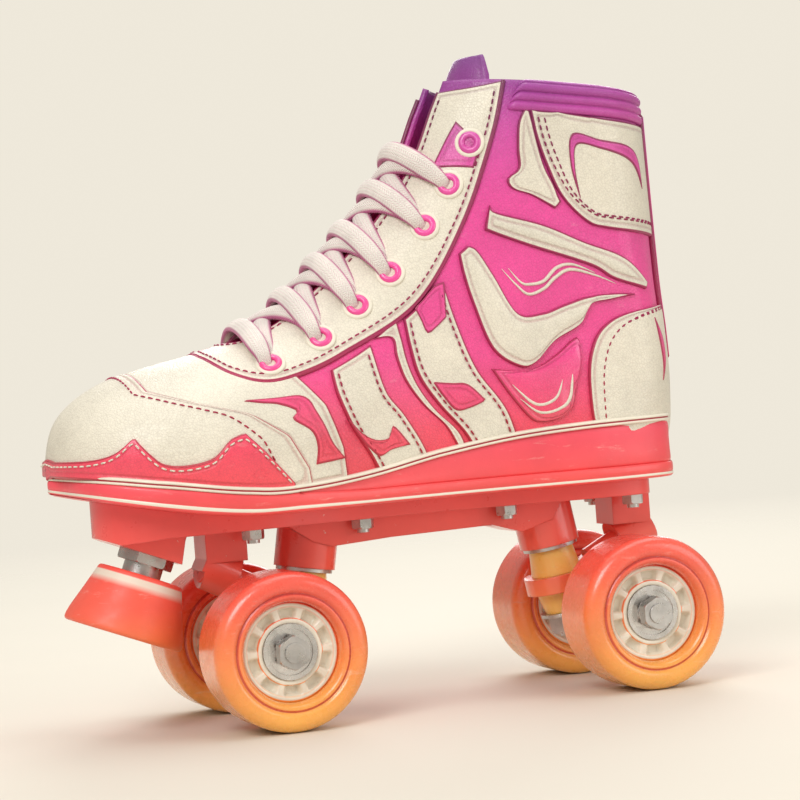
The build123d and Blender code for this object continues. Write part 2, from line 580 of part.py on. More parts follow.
def wheel(name, axle_x, side):
    """One wheel: a tyre cast on a hub that carries two bearings."""
    mid = (axle_x, side * WHEEL_MID_Y, WHEEL_R)
    half = WHEEL_WIDTH / 2
    edge = TREAD_ROUND
    outer = [(HUB_R + 1.5, -half), (WHEEL_R - edge, -half)]
    outer += [(WHEEL_R - edge + edge * math.sin(a), -half + edge - edge * math.cos(a))
              for a in (0.4, 0.8, 1.2)]
    outer += [(WHEEL_R, -half + edge)]
    mirrored = [(r, -y) for r, y in reversed(outer)]
    tyre = turned(outer + mirrored + [(HUB_R, half - 3.5), (HUB_R, -half + 3.5)], mid)
    keep("tyre_" + name, tyre)
    hub_end = HUB_INNER_Y + HUB_WIDTH
    inner, outer_y = side * HUB_INNER_Y, side * hub_end
    low, high = min(inner, outer_y), max(inner, outer_y)
    profile = [(8.5, low + BEARING_WIDTH), (BEARING_R, low + BEARING_WIDTH), (BEARING_R, low),
               (13.0, low), (14.0, low + 1.6), (16.6, low + 1.6), (17.4, low), (HUB_R, low),
               (HUB_R, high), (17.4, high), (16.6, high - 1.6), (14.0, high - 1.6),
               (13.0, high), (BEARING_R, high), (BEARING_R, high - BEARING_WIDTH),
               (8.5, high - BEARING_WIDTH)]
    keep("hub_" + name, turned(profile, (axle_x, 0, WHEEL_R)))
    races = []
    for start in (low, high - BEARING_WIDTH):
        end = start + BEARING_WIDTH
        bore = RING_R + RUNNING_GAP
        race = [(bore, start + 0.5), (9.0, start + 0.5), (9.0, start), (BEARING_R, start),
                (BEARING_R, end), (9.0, end), (9.0, end - 0.5), (bore, end - 0.5)]
        races.append(turned(race, (axle_x, 0, WHEEL_R)))
    keep("bearings_" + name, *races)


for end_name, (axle_x, inward) in TRUCKS.items():
    truck(end_name, axle_x, inward)
    for side, side_name in ((LATERAL, "lateral"), (MEDIAL, "medial")):
        wheel(end_name + "_" + side_name, axle_x, side)

# ---- toe stop ----------------------------------------------------------------------------
stop_plane = Plane(origin=stop_top, z_dir=STOP_AXIS)
pad_profile = [(STEM_R, 0), (STOP_TOP_R - 1.5, 0), (STOP_TOP_R, 1.5),
               (STOP_FACE_R - 1.2, STOP_H - 5),
               (STOP_FACE_R, STOP_H - 4), (STOP_FACE_R, STOP_H - 1.2), (STOP_FACE_R - 1.2, STOP_H),
               (0, STOP_H), (0, STEM_IN_PAD), (STEM_R, STEM_IN_PAD)]
pad = revolve(Plane.XZ * make_face(Polyline(*pad_profile, close=True)), axis=Axis.Z)
keep("toe_stop_pad", stop_plane * pad)
keep("toe_stop_stem", rod(stop_top + STOP_AXIS * STEM_IN_PAD,
                          stop_top - STOP_AXIS * STEM_OVER_PAD, STEM_R))
keep("toe_stop_nut", hexagon_nut(nut_top, STOP_AXIS, STOP_NUT_FLATS, STOP_NUT_H,
                                  STEM_BORE_R))

# ---- bolts pass through sole and board ---------------------------------------------------
for name in ("outsole", "heel_wedge", "welt", "insole_board"):
    solids = NODES[name]
    for hole in bolt_holes:
        cutter = Pos(CENTRE_SHIFT, 0, 0) * hole
        solids = [piece for solid in solids for piece in solids_of(solid - cutter)]
    NODES[name] = solids

for name, pieces in NODES.items():
    export_step(Compound(children=pieces), "parts/" + name + ".step")
print(len(NODES), "nodes")
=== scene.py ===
import math

import bmesh
import bpy
import numpy as np
from bpy.props import FloatProperty, FloatVectorProperty, IntProperty, PointerProperty
from mathutils import Matrix, Vector


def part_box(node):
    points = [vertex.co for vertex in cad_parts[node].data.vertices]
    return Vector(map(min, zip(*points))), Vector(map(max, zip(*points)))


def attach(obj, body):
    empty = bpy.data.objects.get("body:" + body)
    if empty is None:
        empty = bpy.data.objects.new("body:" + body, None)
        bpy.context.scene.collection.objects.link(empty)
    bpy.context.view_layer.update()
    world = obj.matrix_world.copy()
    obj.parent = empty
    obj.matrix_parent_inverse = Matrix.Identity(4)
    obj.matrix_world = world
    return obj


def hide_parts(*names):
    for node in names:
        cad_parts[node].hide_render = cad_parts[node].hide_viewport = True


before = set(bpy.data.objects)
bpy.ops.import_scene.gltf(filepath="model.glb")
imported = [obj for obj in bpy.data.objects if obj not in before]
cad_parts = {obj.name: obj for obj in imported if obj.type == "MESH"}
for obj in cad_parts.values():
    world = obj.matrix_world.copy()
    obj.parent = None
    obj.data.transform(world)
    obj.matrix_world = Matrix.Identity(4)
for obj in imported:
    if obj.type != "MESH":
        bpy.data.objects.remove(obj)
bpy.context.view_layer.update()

bl_info = {
    "name": "Quad Roller Skate",
    "version": (1, 0, 0),
    "blender": (4, 5, 0),
    "location": "View3D > Sidebar > Skate",
    "description": "Builds the boot, lace, wheels and finishes of a quad roller skate on its frame",
    "category": "Add Mesh",
}

MM = 0.001
LATERAL = -1.0
MEDIAL = 1.0
AXLE_FROM_BOOT_X = -53.5        # the front axle in the boot's own millimetres


def middle(node):
    """The middle of a frame node's box, in metres."""
    low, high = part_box(node)
    return (Vector(low) + Vector(high)) / 2


FRONT_AXLE = middle("axle_front")
REAR_AXLE = middle("axle_rear")
BOOT_SHIFT = FRONT_AXLE.x / MM - AXLE_FROM_BOOT_X
WHEELS = ("front_lateral", "front_medial", "rear_lateral", "rear_medial")

# ---- The boot's form ----
# Each station is a closed section in an upright plane: front point x, z; back point x, z;
# length and half-width of the front rounding; length and half-width of the back rounding.
STATIONS = np.array([
    (-129.0, 112.0, -129.0, 84.0, 9.0, 7.0, 9.0, 7.0),
    (-128.0, 117.0, -128.0, 83.0, 13.0, 14.5, 9.0, 14.0),
    (-125.0, 125.0, -125.0, 82.0, 20.0, 24.0, 9.0, 23.5),
    (-119.5, 131.0, -119.5, 81.0, 24.0, 31.0, 9.0, 30.0),
    (-111.0, 136.5, -111.0, 80.0, 28.0, 37.0, 9.0, 36.0),
    (-99.5, 141.0, -99.5, 79.0, 32.0, 41.5, 9.0, 40.0),
    (-85.0, 144.5, -84.0, 78.0, 36.0, 44.5, 9.0, 43.0),
    (-68.0, 148.0, -65.0, 77.0, 40.0, 46.0, 9.0, 44.5),
    (-52.0, 152.5, -45.0, 77.0, 44.0, 45.0, 9.0, 43.5),
    (-36.0, 161.0, -22.0, 78.0, 47.0, 41.5, 9.0, 39.5),
    (-21.0, 173.0, 3.0, 80.0, 49.0, 37.5, 9.0, 35.0),
    (-8.0, 185.5, 30.0, 83.0, 48.0, 34.5, 9.0, 32.5),
    (3.0, 197.0, 60.0, 86.0, 45.0, 32.5, 9.0, 32.5),
    (12.0, 207.5, 90.0, 88.0, 42.0, 31.5, 10.0, 33.0),
    (19.0, 217.0, 112.5, 89.0, 40.0, 31.0, 20.0, 32.5),
    (24.0, 225.0, 127.3, 97.0, 38.0, 31.0, 30.0, 31.5),
    (27.5, 232.0, 131.0, 118.0, 37.0, 31.3, 33.0, 31.0),
    (30.0, 237.5, 130.8, 142.0, 36.0, 31.8, 33.0, 30.5),
    (32.0, 242.0, 129.2, 167.0, 36.0, 32.3, 33.0, 30.8),
    (36.5, 251.0, 127.8, 217.0, 37.0, 33.8, 35.0, 33.0),
    (44.0, 268.0, 126.8, 262.0, 39.0, 35.0, 36.0, 34.5),
])
LAST_U = len(STATIONS) - 1.0
FRONT_SHARE = 0.42
BACK_SHARE = 0.74
TOE_TURN = 7.0
NOSE_BULGE = 0.4
NOSE_Z = 108.0
FEATHER = np.array([(-150, 107.0), (-130.5, 105.5), (-99.5, 101.0), (-62, 95.5), (-42, 95.0),
                    (-12, 98.0), (18, 103.5), (53, 108.0), (88, 110.0), (150, 110.5)])
SOLE_Z = 84.3
COLLAR_LINE = ((36.0, 253.0), (140.0, 241.5))
THROAT_START = -57.0
THROAT_HALF = 12.0


def catmull(rows, u):
    """Values at places u between the rows, on the Catmull-Rom cubic through four rows."""
    u = np.clip(np.asarray(u, float), 0.0, len(rows) - 1.0)
    i = np.minimum(u.astype(int), len(rows) - 2)
    t = (u - i)[..., None]
    a, b, c, d = (rows[np.clip(i + k, 0, len(rows) - 1)] for k in (-1, 0, 1, 2))
    return 0.5 * (2 * b + (c - a) * t + (2 * a - 5 * b + 4 * c - d) * t ** 2
                  + (3 * b - a - 3 * c + d) * t ** 3)


def toe_turn(x):
    """Sideways shift of the boot's middle line: the square of the share from ball to toe."""
    return TOE_TURN * np.clip((-25.0 - x) / 110.0, 0.0, 1.0) ** 2


def boot(u, v):
    """The boot's outside in its own millimetres.  u runs from the toe (0) to above the collar.
    v is 0 on the front line and -1 or 1 on the back line, by the outer or the inner side.
    A section is half an ellipse in front, straight sides, and half an ellipse behind; below
    u = 0 it shrinks to a point as the root of 1 - u squared, which closes the toe."""
    u, v = np.broadcast_arrays(np.asarray(u, float), np.asarray(v, float))
    front_x, front_z, back_x, back_z, fl, fw, bl, bw = np.moveaxis(catmull(STATIONS, u), -1, 0)
    w = np.abs(v)
    span = np.hypot(back_x - front_x, back_z - front_z)
    nx, nz = (back_x - front_x) / span, (back_z - front_z) / span
    turn = np.clip(w / FRONT_SHARE, 0, 1) * np.pi / 2
    t = np.clip((w - FRONT_SHARE) / (BACK_SHARE - FRONT_SHARE), 0, 1)
    end = np.clip((w - BACK_SHARE) / (1 - BACK_SHARE), 0, 1) * np.pi / 2
    along = np.where(w < FRONT_SHARE, fl - fl * np.cos(turn),
                     np.where(w < BACK_SHARE, fl + (span - fl - bl) * t,
                              span - bl + bl * np.sin(end)))
    half = np.where(w < FRONT_SHARE, fw * np.sin(turn),
                    np.where(w < BACK_SHARE, fw + (bw - fw) * t, bw * np.cos(end)))
    x = front_x + nx * along
    y = toe_turn(front_x) + np.sign(v) * half
    z = front_z + nz * along
    shrink = np.sqrt(np.clip(1 - np.clip(-u, 0, 1) ** 2, 0, 1))
    x = x - (1 - shrink) * NOSE_BULGE
    y = toe_turn(front_x) + (y - toe_turn(front_x)) * shrink
    z = NOSE_Z + (z - NOSE_Z) * shrink
    return np.stack([x, y, z], -1)


def boot_normal(u, v):
    """The outward unit direction: the cross product of the steps along u and along v."""
    du, dv = 0.02, 0.004
    along = boot(u + du, v) - boot(u - du, v)
    across = boot(u, v + dv) - boot(u, v - dv)
    n = np.cross(along, across)
    return n / np.maximum(np.linalg.norm(n, axis=-1, keepdims=True), 1e-9)


def in_frame(p):
    """The boot's own millimetres as metres of the skate's frame."""
    return (p + np.array([BOOT_SHIFT, 0, 0])) * MM


def on_boot(u, v, height):
    """Points of the skate's frame, in metres, at a height in millimetres over the boot."""
    height = np.asarray(height, float)[..., None]
    return in_frame(boot(u, v) + boot_normal(u, v) * height)


def feather(x):
    """Height of the sole's upper edge, a Catmull-Rom line through the FEATHER points."""
    at = np.interp(x, FEATHER[:, 0], np.arange(len(FEATHER)))
    return catmull(FEATHER, at)[..., 1]


def collar(x):
    """Height of the collar's top edge, a straight line falling towards the heel."""
    (x0, z0), (x1, z1) = COLLAR_LINE
    return z0 + (z1 - z0) * (x - x0) / (x1 - x0)


def solve(inside, low, high, steps=26):
    """Bisection: the last value between low and high where inside(value) is still true."""
    low, high = np.array(low, float), np.array(high, float)
    for _ in range(steps):
        mid = (low + high) / 2
        keep = inside(mid)
        low, high = np.where(keep, mid, low), np.where(keep, high, mid)
    return (low + high) / 2


def feather_v(u, side, drop=1.0):
    """The v where the section at u meets the sole, drop millimetres under its upper edge."""
    def above(w):
        p = boot(u, side * w)
        return p[..., 2] > feather(p[..., 0]) - drop
    return side * solve(above, np.full(np.shape(u), 0.30), np.ones(np.shape(u)))


def collar_u(v, drop=0.0, start=13.0):
    """The u where the line v meets the collar's top edge, drop millimetres lower, looked for
    from start upwards."""
    def below(u):
        p = boot(u, v)
        return p[..., 2] < collar(p[..., 0]) - drop
    return solve(below, np.full(np.shape(v), start), np.full(np.shape(v), LAST_U))


def throat_v(u, gap=0.0):
    """Half of the throat's opening as a v: an arc at its front end, then a constant width."""
    front = catmull(STATIONS, u)
    reach = np.clip((front[..., 0] - THROAT_START + gap) / (THROAT_HALF + gap), 0, 1)
    half = (THROAT_HALF + gap) * np.sqrt(1 - (1 - reach) ** 2)
    return np.arcsin(np.clip(half / front[..., 5], 0, 1)) / (np.pi / 2) * FRONT_SHARE


SEEK_U, SEEK_W = np.meshgrid(np.linspace(0, LAST_U, 241), np.linspace(0.0, 1.0, 101),
                             indexing="ij")
SEEK_XZ = boot(SEEK_U, SEEK_W)[..., (0, 2)].reshape(-1, 2)


def find_on_boot(xz):
    """The (u, v) whose side view is at the points xz: the nearest of a grid, then Newton."""
    xz = np.asarray(xz, float)
    gap = ((xz[:, None, :] - SEEK_XZ[None]) ** 2).sum(-1)
    best = gap.argmin(1)
    u, w = SEEK_U.ravel()[best].copy(), SEEK_W.ravel()[best].copy()
    for _ in range(12):
        here = boot(u, w)[..., (0, 2)]
        du = (boot(u + 0.01, w) - boot(u - 0.01, w))[..., (0, 2)] / 0.02
        dw = (boot(u, w + 0.002) - boot(u, w - 0.002))[..., (0, 2)] / 0.004
        det = du[:, 0] * dw[:, 1] - du[:, 1] * dw[:, 0]
        det = np.where(np.abs(det) < 1e-3, 1e9, det)
        e = xz - here
        u = u + np.clip((e[:, 0] * dw[:, 1] - e[:, 1] * dw[:, 0]) / det, -0.3, 0.3)
        w = w + np.clip((du[:, 0] * e[:, 1] - du[:, 1] * e[:, 0]) / det, -0.03, 0.03)
        u, w = np.clip(u, 0, LAST_U), np.clip(w, 0.004, 0.996)
    return np.stack([u, w], -1)


def smooth_line(points, count=120):
    """A smooth line through points: Catmull-Rom, then spaced evenly by its own length."""
    points = np.asarray(points, float)
    dense = catmull(points, np.linspace(0, len(points) - 1, 30 * len(points)))
    run = np.r_[0, np.cumsum(np.linalg.norm(np.diff(dense, axis=0), axis=1))]
    at = np.linspace(0, run[-1], count)
    return np.stack([np.interp(at, run, dense[:, k]) for k in range(dense.shape[1])], -1)


# ---- Mesh tools ----
def put_mesh(name, verts, faces, body, **layers):
    """A mesh object from whole arrays, riding on a body; layers become point attributes."""
    mesh = bpy.data.meshes.new(name)
    faces = faces.tolist() if isinstance(faces, np.ndarray) else faces
    mesh.from_pydata(np.asarray(verts, float).reshape(-1, 3).tolist(), [], faces)
    for label, values in layers.items():
        layer = mesh.attributes.new(label, "FLOAT", "POINT")
        layer.data.foreach_set("value", np.asarray(values, np.float32).ravel())
    mesh.validate()
    mesh.polygons.foreach_set("use_smooth", np.ones(len(mesh.polygons), bool))
    piece = bpy.data.objects.new(name, mesh)
    bpy.context.scene.collection.objects.link(piece)
    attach(piece, body)
    return piece


def grid_faces(rows, columns, start=0, wrap_rows=False, wrap_columns=False):
    """Quads of a rows by columns grid of points, each side closed on itself if asked."""
    i = np.arange(rows if wrap_rows else rows - 1)
    j = np.arange(columns if wrap_columns else columns - 1)
    i, j = np.meshgrid(i, j, indexing="ij")
    i2, j2 = (i + 1) % rows, (j + 1) % columns
    quads = np.stack([i * columns + j, i2 * columns + j, i2 * columns + j2, i * columns + j2], -1)
    return quads.reshape(-1, 4) + start


def slab_faces(rows, columns):
    """Faces of a closed slab: an upper grid, a lower grid after it, and the four rims."""
    n = rows * columns
    top = grid_faces(rows, columns)
    low = grid_faces(rows, columns, n)[:, ::-1]
    index = np.arange(n).reshape(rows, columns)
    ring = np.concatenate([index[0, :-1], index[:-1, -1], index[-1, :0:-1], index[:0:-1, 0]])
    after = np.roll(ring, -1)
    rim = np.stack([ring, after, after + n, ring + n], -1)
    return np.concatenate([top, low, rim])


def spaced(length, step=1.2, edge=(0.12, 0.35, 0.7, 1.15)):
    """Places from 0 to 1 along a length in millimetres: close at both ends, even between."""
    length = max(length, 4.0)
    inner = np.linspace(1.6, length - 1.6, max(int(length / step), 3))
    near = np.array((0.0, *edge))
    return np.concatenate([near, inner, length - near[::-1]]) / length


def edge_distance(p):
    """Distance in millimetres from each grid point to the grid's border, along its lines."""
    across = np.linalg.norm(np.diff(p, axis=0), axis=-1) / MM
    along = np.linalg.norm(np.diff(p, axis=1), axis=-1) / MM
    zero_row, zero_column = np.zeros((1, p.shape[1])), np.zeros((p.shape[0], 1))
    a = np.concatenate([zero_row, np.cumsum(across, 0)])
    b = np.concatenate([zero_column, np.cumsum(along, 1)], 1)
    return np.minimum(np.minimum(a, a[-1:] - a), np.minimum(b, b[:, -1:] - b))


def tube_points(path, radius, sides=10, flat=1.0, up=None):
    """Rings along a path: each point plus radius times cosine and sine in the plane across
    it.  flat squashes the rings along the up direction given for each point."""
    path = np.asarray(path, float)
    ahead = np.gradient(path, axis=0)
    ahead /= np.maximum(np.linalg.norm(ahead, axis=1, keepdims=True), 1e-12)
    if up is None:
        up = np.broadcast_to(np.array([0.0, 0.0, 1.0]), path.shape)
    side = np.cross(ahead, up)
    side /= np.maximum(np.linalg.norm(side, axis=1, keepdims=True), 1e-9)
    top = np.cross(side, ahead)
    angle = np.linspace(0, 2 * np.pi, sides, endpoint=False)
    radius = np.broadcast_to(np.asarray(radius, float), (len(path),))[:, None, None]
    flat = np.broadcast_to(np.asarray(flat, float), (len(path),))[:, None, None]
    ring = (side[:, None] * np.cos(angle)[None, :, None]
            + top[:, None] * (np.sin(angle)[None, :, None] * flat))
    return path[:, None] + ring * radius


def tube_faces(rings, sides, start=0):
    """Faces of a tube with both ends closed by one polygon each."""
    quads = grid_faces(rings, sides, start, wrap_columns=True)[:, ::-1].tolist()
    first = list(range(start, start + sides))
    last = [k + (rings - 1) * sides for k in first]
    return quads + [first, last[::-1]]


def lathe(profile, segments, centre):
    """A closed ring of (radius, place) points turned about a line along y through centre."""
    profile = np.asarray(profile, float)
    angle = np.linspace(0, 2 * np.pi, segments, endpoint=False)
    r, a = profile[:, 0][None], profile[:, 1][None]
    c, s = np.cos(angle)[:, None], np.sin(angle)[:, None]
    p = np.stack([r * c, np.broadcast_to(a, (segments, len(profile))), r * s], -1)
    return p + np.asarray(centre, float)


def rounded(profile, radius, steps=5):
    """A closed outline with each corner replaced by an arc-like quadratic of that radius."""
    profile = np.asarray(profile, float)
    radius = np.broadcast_to(np.asarray(radius, float), (len(profile),))
    before, after = np.roll(profile, 1, 0), np.roll(profile, -1, 0)
    lb = np.linalg.norm(before - profile, axis=1)
    la = np.linalg.norm(after - profile, axis=1)
    cut = np.minimum(radius, 0.45 * np.minimum(lb, la))
    a = profile + (before - profile) * (cut / lb)[:, None]
    b = profile + (after - profile) * (cut / la)[:, None]
    t = np.linspace(0, 1, steps)[None, :, None]
    arc = a[:, None] * (1 - t) ** 2 + profile[:, None] * 2 * t * (1 - t) + b[:, None] * t ** 2
    return arc.reshape(-1, 2)


# ---- Finishes ----
# Colours by height, in metres over the ground: the skate fades from purple at the collar
# through pink leather and coral sole to orange wheels.
BODY_STOPS = ((0.000, (0.93, 0.47, 0.09)), (0.022, (0.93, 0.30, 0.075)),
              (0.050, (0.90, 0.125, 0.075)), (0.088, (0.89, 0.085, 0.085)),
              (0.112, (0.90, 0.075, 0.14)), (0.140, (0.90, 0.072, 0.30)),
              (0.200, (0.87, 0.070, 0.36)), (0.232, (0.62, 0.075, 0.38)),
              (0.248, (0.36, 0.055, 0.33)), (0.264, (0.19, 0.045, 0.23)))
LINE_STOPS = ((0.000, (0.72, 0.13, 0.04)), (0.060, (0.55, 0.035, 0.035)),
              (0.105, (0.47, 0.022, 0.045)), (0.150, (0.40, 0.020, 0.10)),
              (0.220, (0.30, 0.022, 0.10)), (0.262, (0.13, 0.022, 0.09)))


BARE_METAL = (0.80, 0.74, 0.68)


class Finish:
    """A procedural material under construction: shader nodes added and joined by short calls."""

    def __init__(self, name):
        self.material = bpy.data.materials.new(name)
        self.material.use_nodes = True
        self.tree = self.material.node_tree
        self.shader = self.tree.nodes["Principled BSDF"]
        self.coords = self.tree.nodes.new("ShaderNodeTexCoord").outputs["Object"]

    def node(self, kind, inputs=None, **settings):
        made = self.tree.nodes.new("ShaderNode" + kind)
        for label, value in settings.items():
            setattr(made, label, value)
        for label, value in (inputs or {}).items():
            self.feed(made.inputs[label], value)
        return made

    def feed(self, socket, value):
        if isinstance(value, bpy.types.NodeSocket):
            self.tree.links.new(value, socket)
        else:
            socket.default_value = value

    def set(self, **values):
        for label, value in values.items():
            self.feed(self.shader.inputs[label.replace("_", " ")], value)

    def by_height(self, stops):
        """A colour that changes with the height over the ground."""
        split = self.node("SeparateXYZ", {"Vector": self.coords})
        low, high = stops[0][0], stops[-1][0]
        place = self.node("MapRange", {"Value": split.outputs["Z"], "From Min": low,
                                       "From Max": high})
        ramp = self.node("ValToRGB", {"Fac": place.outputs["Result"]})
        ramp.color_ramp.interpolation = "LINEAR"
        ends = ramp.color_ramp.elements
        ends[0].position, ends[0].color = 0.0, (*stops[0][1], 1)
        ends[1].position, ends[1].color = 1.0, (*stops[-1][1], 1)
        for z, colour in stops[1:-1]:
            ends.new((z - low) / (high - low)).color = (*colour, 1)
        return ramp.outputs["Color"]

    def dye(self, colour):
        """A fade by height where stops are given, or else the plain colour itself."""
        return self.by_height(colour) if len(colour) > 3 else colour

    def noise(self, scale, detail=3.0, stretch=None, roughness=0.55):
        """Noise from 0 to 1 over the object's own coordinates, stretched along an axis."""
        where = self.coords
        if stretch:
            where = self.node("Mapping", {"Vector": where, "Scale": stretch}).outputs["Vector"]
        return self.node("TexNoise", {"Vector": where, "Scale": scale, "Detail": detail,
                                      "Roughness": roughness}).outputs["Fac"]

    def cells(self, scale, feature="DISTANCE_TO_EDGE"):
        """Distance within the cells of a Voronoi pattern, as in leather grain."""
        return self.node("TexVoronoi", {"Vector": self.coords, "Scale": scale},
                         feature=feature).outputs["Distance"]

    def fit(self, value, low, high, to_low=0.0, to_high=1.0):
        """A value moved from one range to another and held inside it."""
        return self.node("MapRange", {"Value": value, "From Min": low, "From Max": high,
                                      "To Min": to_low, "To Max": to_high}).outputs["Result"]

    def math(self, operation, a, b=0.0):
        made = self.node("Math", operation=operation)
        self.feed(made.inputs[0], a)
        self.feed(made.inputs[1], b)
        return made.outputs["Value"]

    def mix(self, factor, a, b, blend="MIX"):
        """One colour over another, by a factor."""
        made = self.node("Mix", data_type="RGBA", blend_type=blend)
        self.feed(made.inputs["Factor"], factor)
        for socket, value in ((made.inputs[6], a), (made.inputs[7], b)):
            self.feed(socket, value if isinstance(value, bpy.types.NodeSocket) else (*value, 1))
        return made.outputs[2]

    def tinted(self, colour, factor, dark=0.86, light=1.06):
        """The colour made darker and lighter by a pattern from 0 to 1."""
        shade = self.fit(factor, 0.3, 0.7, dark, light)
        grey = self.node("CombineColor", {"Red": shade, "Green": shade, "Blue": shade})
        return self.mix(1.0, colour, grey.outputs["Color"], "MULTIPLY")

    def mark(self, label):
        """A piece's own point attribute, such as its distance from the edge."""
        return self.node("Attribute", attribute_name=label).outputs["Fac"]

    def bumps(self, *layers, edge_radius=0.0):
        """Bump layers of (height, distance in metres, strength), one on top of the other, over
        sharp edges that show a small round of edge_radius in metres."""
        normal = None
        if edge_radius:
            normal = self.node("Bevel", {"Radius": edge_radius}, samples=4).outputs["Normal"]
        for height, distance, strength in layers:
            inputs = {"Height": height, "Distance": distance, "Strength": strength}
            if normal:
                inputs["Normal"] = normal
            normal = self.node("Bump", inputs).outputs["Normal"]
        self.set(Normal=normal)


def leather(name, colour, grain=1.0, edge_paint=True, coat=0.25, rough=0.36):
    """Finished leather: pebble grain, pores, soft creases and cloudy dye, with dyed edges
    where the piece carries its distance from the edge."""
    f = Finish(name)
    base = f.dye(colour)
    cloud = f.noise(38.0, 4.0)
    fine = f.noise(420.0, 3.0)
    tint = f.tinted(base, cloud, 0.90, 1.05)
    tint = f.tinted(tint, fine, 0.95, 1.03)
    creases = f.noise(150.0, 5.0, (1.0, 0.6, 2.4), 0.6)
    worn = f.fit(creases, 0.64, 0.78)
    tint = f.mix(f.math("MULTIPLY", worn, 0.16), tint, (0.95, 0.80, 0.74))
    pebble = f.fit(f.cells(820.0), 0.0, 0.18)
    tint = f.mix(f.fit(pebble, 0.0, 0.55, 0.16, 0.0), tint, (0.10, 0.02, 0.03))
    if edge_paint:
        edge = f.mark("edge")
        line = f.by_height(LINE_STOPS)
        tint = f.mix(f.fit(edge, 1.0, 0.72), tint, line)
        groove = f.math("ABSOLUTE", f.math("SUBTRACT", edge, 2.6))
        tint = f.mix(f.fit(groove, 0.75, 0.2, 0.0, 0.28), tint, line)
        sunk = f.fit(groove, 0.9, 0.15, 0.0, -1.0)
    f.set(Base_Color=tint, Coat_Weight=coat, Coat_Roughness=0.16,
          Roughness=f.fit(f.noise(160.0, 4.0), 0.3, 0.7, rough - 0.05, rough + 0.12))
    layers = [(creases, 0.0007, 0.30 * grain), (pebble, 0.00028, 0.42 * grain),
              (fine, 0.00012, 0.30)]
    if edge_paint:
        layers.insert(0, (sunk, 0.0004, 0.8))
    f.bumps(*layers)
    return f.material


def textile(name, colour):
    """Brushed lining cloth: a fine cross weave under short fibres."""
    f = Finish(name)
    base = f.dye(colour)
    warp, weft = (f.node("TexWave", {"Vector": f.coords, "Scale": 468.75, "Distortion": 1.2},
                         bands_direction=along).outputs["Fac"] for along in "XZ")
    weave = f.math("MULTIPLY", warp, weft)
    fibre = f.noise(900.0, 5.0)
    f.set(Base_Color=f.tinted(f.tinted(base, f.noise(60.0), 0.88, 1.06), fibre, 0.86, 1.08),
          Roughness=0.86, Sheen_Weight=0.35, Sheen_Roughness=0.5)
    f.bumps((weave, 0.0003, 0.6), (fibre, 0.0002, 0.5))
    return f.material


def woven(name, colour, shade, pitch=1.15):
    """Flat woven lace: a herringbone of yarns along and across, from the piece's own marks
    'run' and 'across' in millimetres, with painted shade: the colour shade darkens the weave's
    hollows and the lace's two narrow edges."""
    f = Finish(name)
    run, across = f.mark("run"), f.mark("across")
    column = f.math("FRACT", f.math("MULTIPLY", across, 0.25))
    lean = f.math("ABSOLUTE", f.math("SUBTRACT", column, 0.5))
    wave = f.math("SINE", f.math("MULTIPLY", f.math("ADD", run, f.math("MULTIPLY", lean, 5.0)),
                                 2 * math.pi / pitch))
    yarn = f.fit(wave, -1.0, 1.0)
    rows = f.fit(f.math("SINE", f.math("MULTIPLY", across, 2 * math.pi / 1.3)), -1.0, 1.0)
    weave = f.math("MULTIPLY", f.fit(yarn, 0.0, 1.0, 0.35, 1.0), f.fit(rows, 0.0, 1.0, 0.55, 1.0))
    # Painted shade: the dark raspberry colour shade fills the weave's hollows and the lace's two
    # narrow edges.
    tint = f.mix(f.fit(weave, 0.12, 0.55, 0.5, 0.0), colour, shade)
    tint = f.mix(f.fit(f.math("ABSOLUTE", across), 3.35, 4.0), tint, shade)
    tint = f.tinted(tint, f.noise(90.0), 0.88, 1.05)
    f.set(Base_Color=tint, Roughness=0.82, Sheen_Weight=0.3)
    f.bumps((weave, 0.0005, 0.85), (f.noise(1600.0, 4.0), 0.0001, 0.5))
    return f.material


def moulded(name, colour, rough=0.42, coat=0.1, speck=0.06, soft_edge=0.0004, scatter=0.0,
            line=None):
    """Moulded rubber or plastic: fine mould texture, cloudy tint, pale scuffs, and a painted
    line where a line's colour is given and the piece carries the mark 'line'."""
    f = Finish(name)
    base = f.dye(colour)
    cloud = f.noise(45.0, 4.0)
    tint = f.tinted(base, cloud, 0.91, 1.06)
    scuffs = f.fit(f.noise(70.0, 6.0, (1.0, 1.0, 5.0), 0.7), 0.60, 0.72)
    tint = f.mix(f.math("MULTIPLY", scuffs, speck * 4), tint, (0.95, 0.82, 0.72))
    if line:
        tint = f.mix(f.fit(f.mark("line"), 0.35, 0.65), tint, f.dye(line))
    f.set(Base_Color=tint, Coat_Weight=coat, Coat_Roughness=0.2, Subsurface_Weight=scatter,
          Subsurface_Scale=0.004,
          Roughness=f.fit(f.noise(220.0, 4.0), 0.3, 0.7, rough - 0.08, rough + 0.14))
    f.bumps((scuffs, 0.0002, 0.25), (f.noise(1700.0, 2.0), 0.00012, 0.35),
            edge_radius=soft_edge)
    return f.material


def striped(name, colour, line, rough=0.4, coat=0.25, scatter=0.0):
    """Moulded rubber with a painted line and rounded edges of its own."""
    return moulded(name, colour, rough, coat, 0.05, 0.0, scatter, line)


def painted(name, colour):
    """Enamelled casting: orange peel under a clear coat, with chips and softly rounded edges."""
    f = Finish(name)
    base = f.dye(colour)
    tint = f.tinted(base, f.noise(30.0, 4.0), 0.90, 1.05)
    chips = f.fit(f.noise(260.0, 7.0, None, 0.7), 0.695, 0.705)
    tint = f.mix(f.math("MULTIPLY", chips, 0.8), tint, BARE_METAL)
    f.set(Base_Color=tint, Coat_Weight=0.6, Coat_Roughness=0.1,
          Roughness=f.fit(f.noise(120.0, 4.0), 0.3, 0.7, 0.26, 0.40))
    f.bumps((f.noise(700.0, 2.0), 0.00012, 0.25), (chips, 0.0001, -0.4), edge_radius=0.0009)
    return f.material


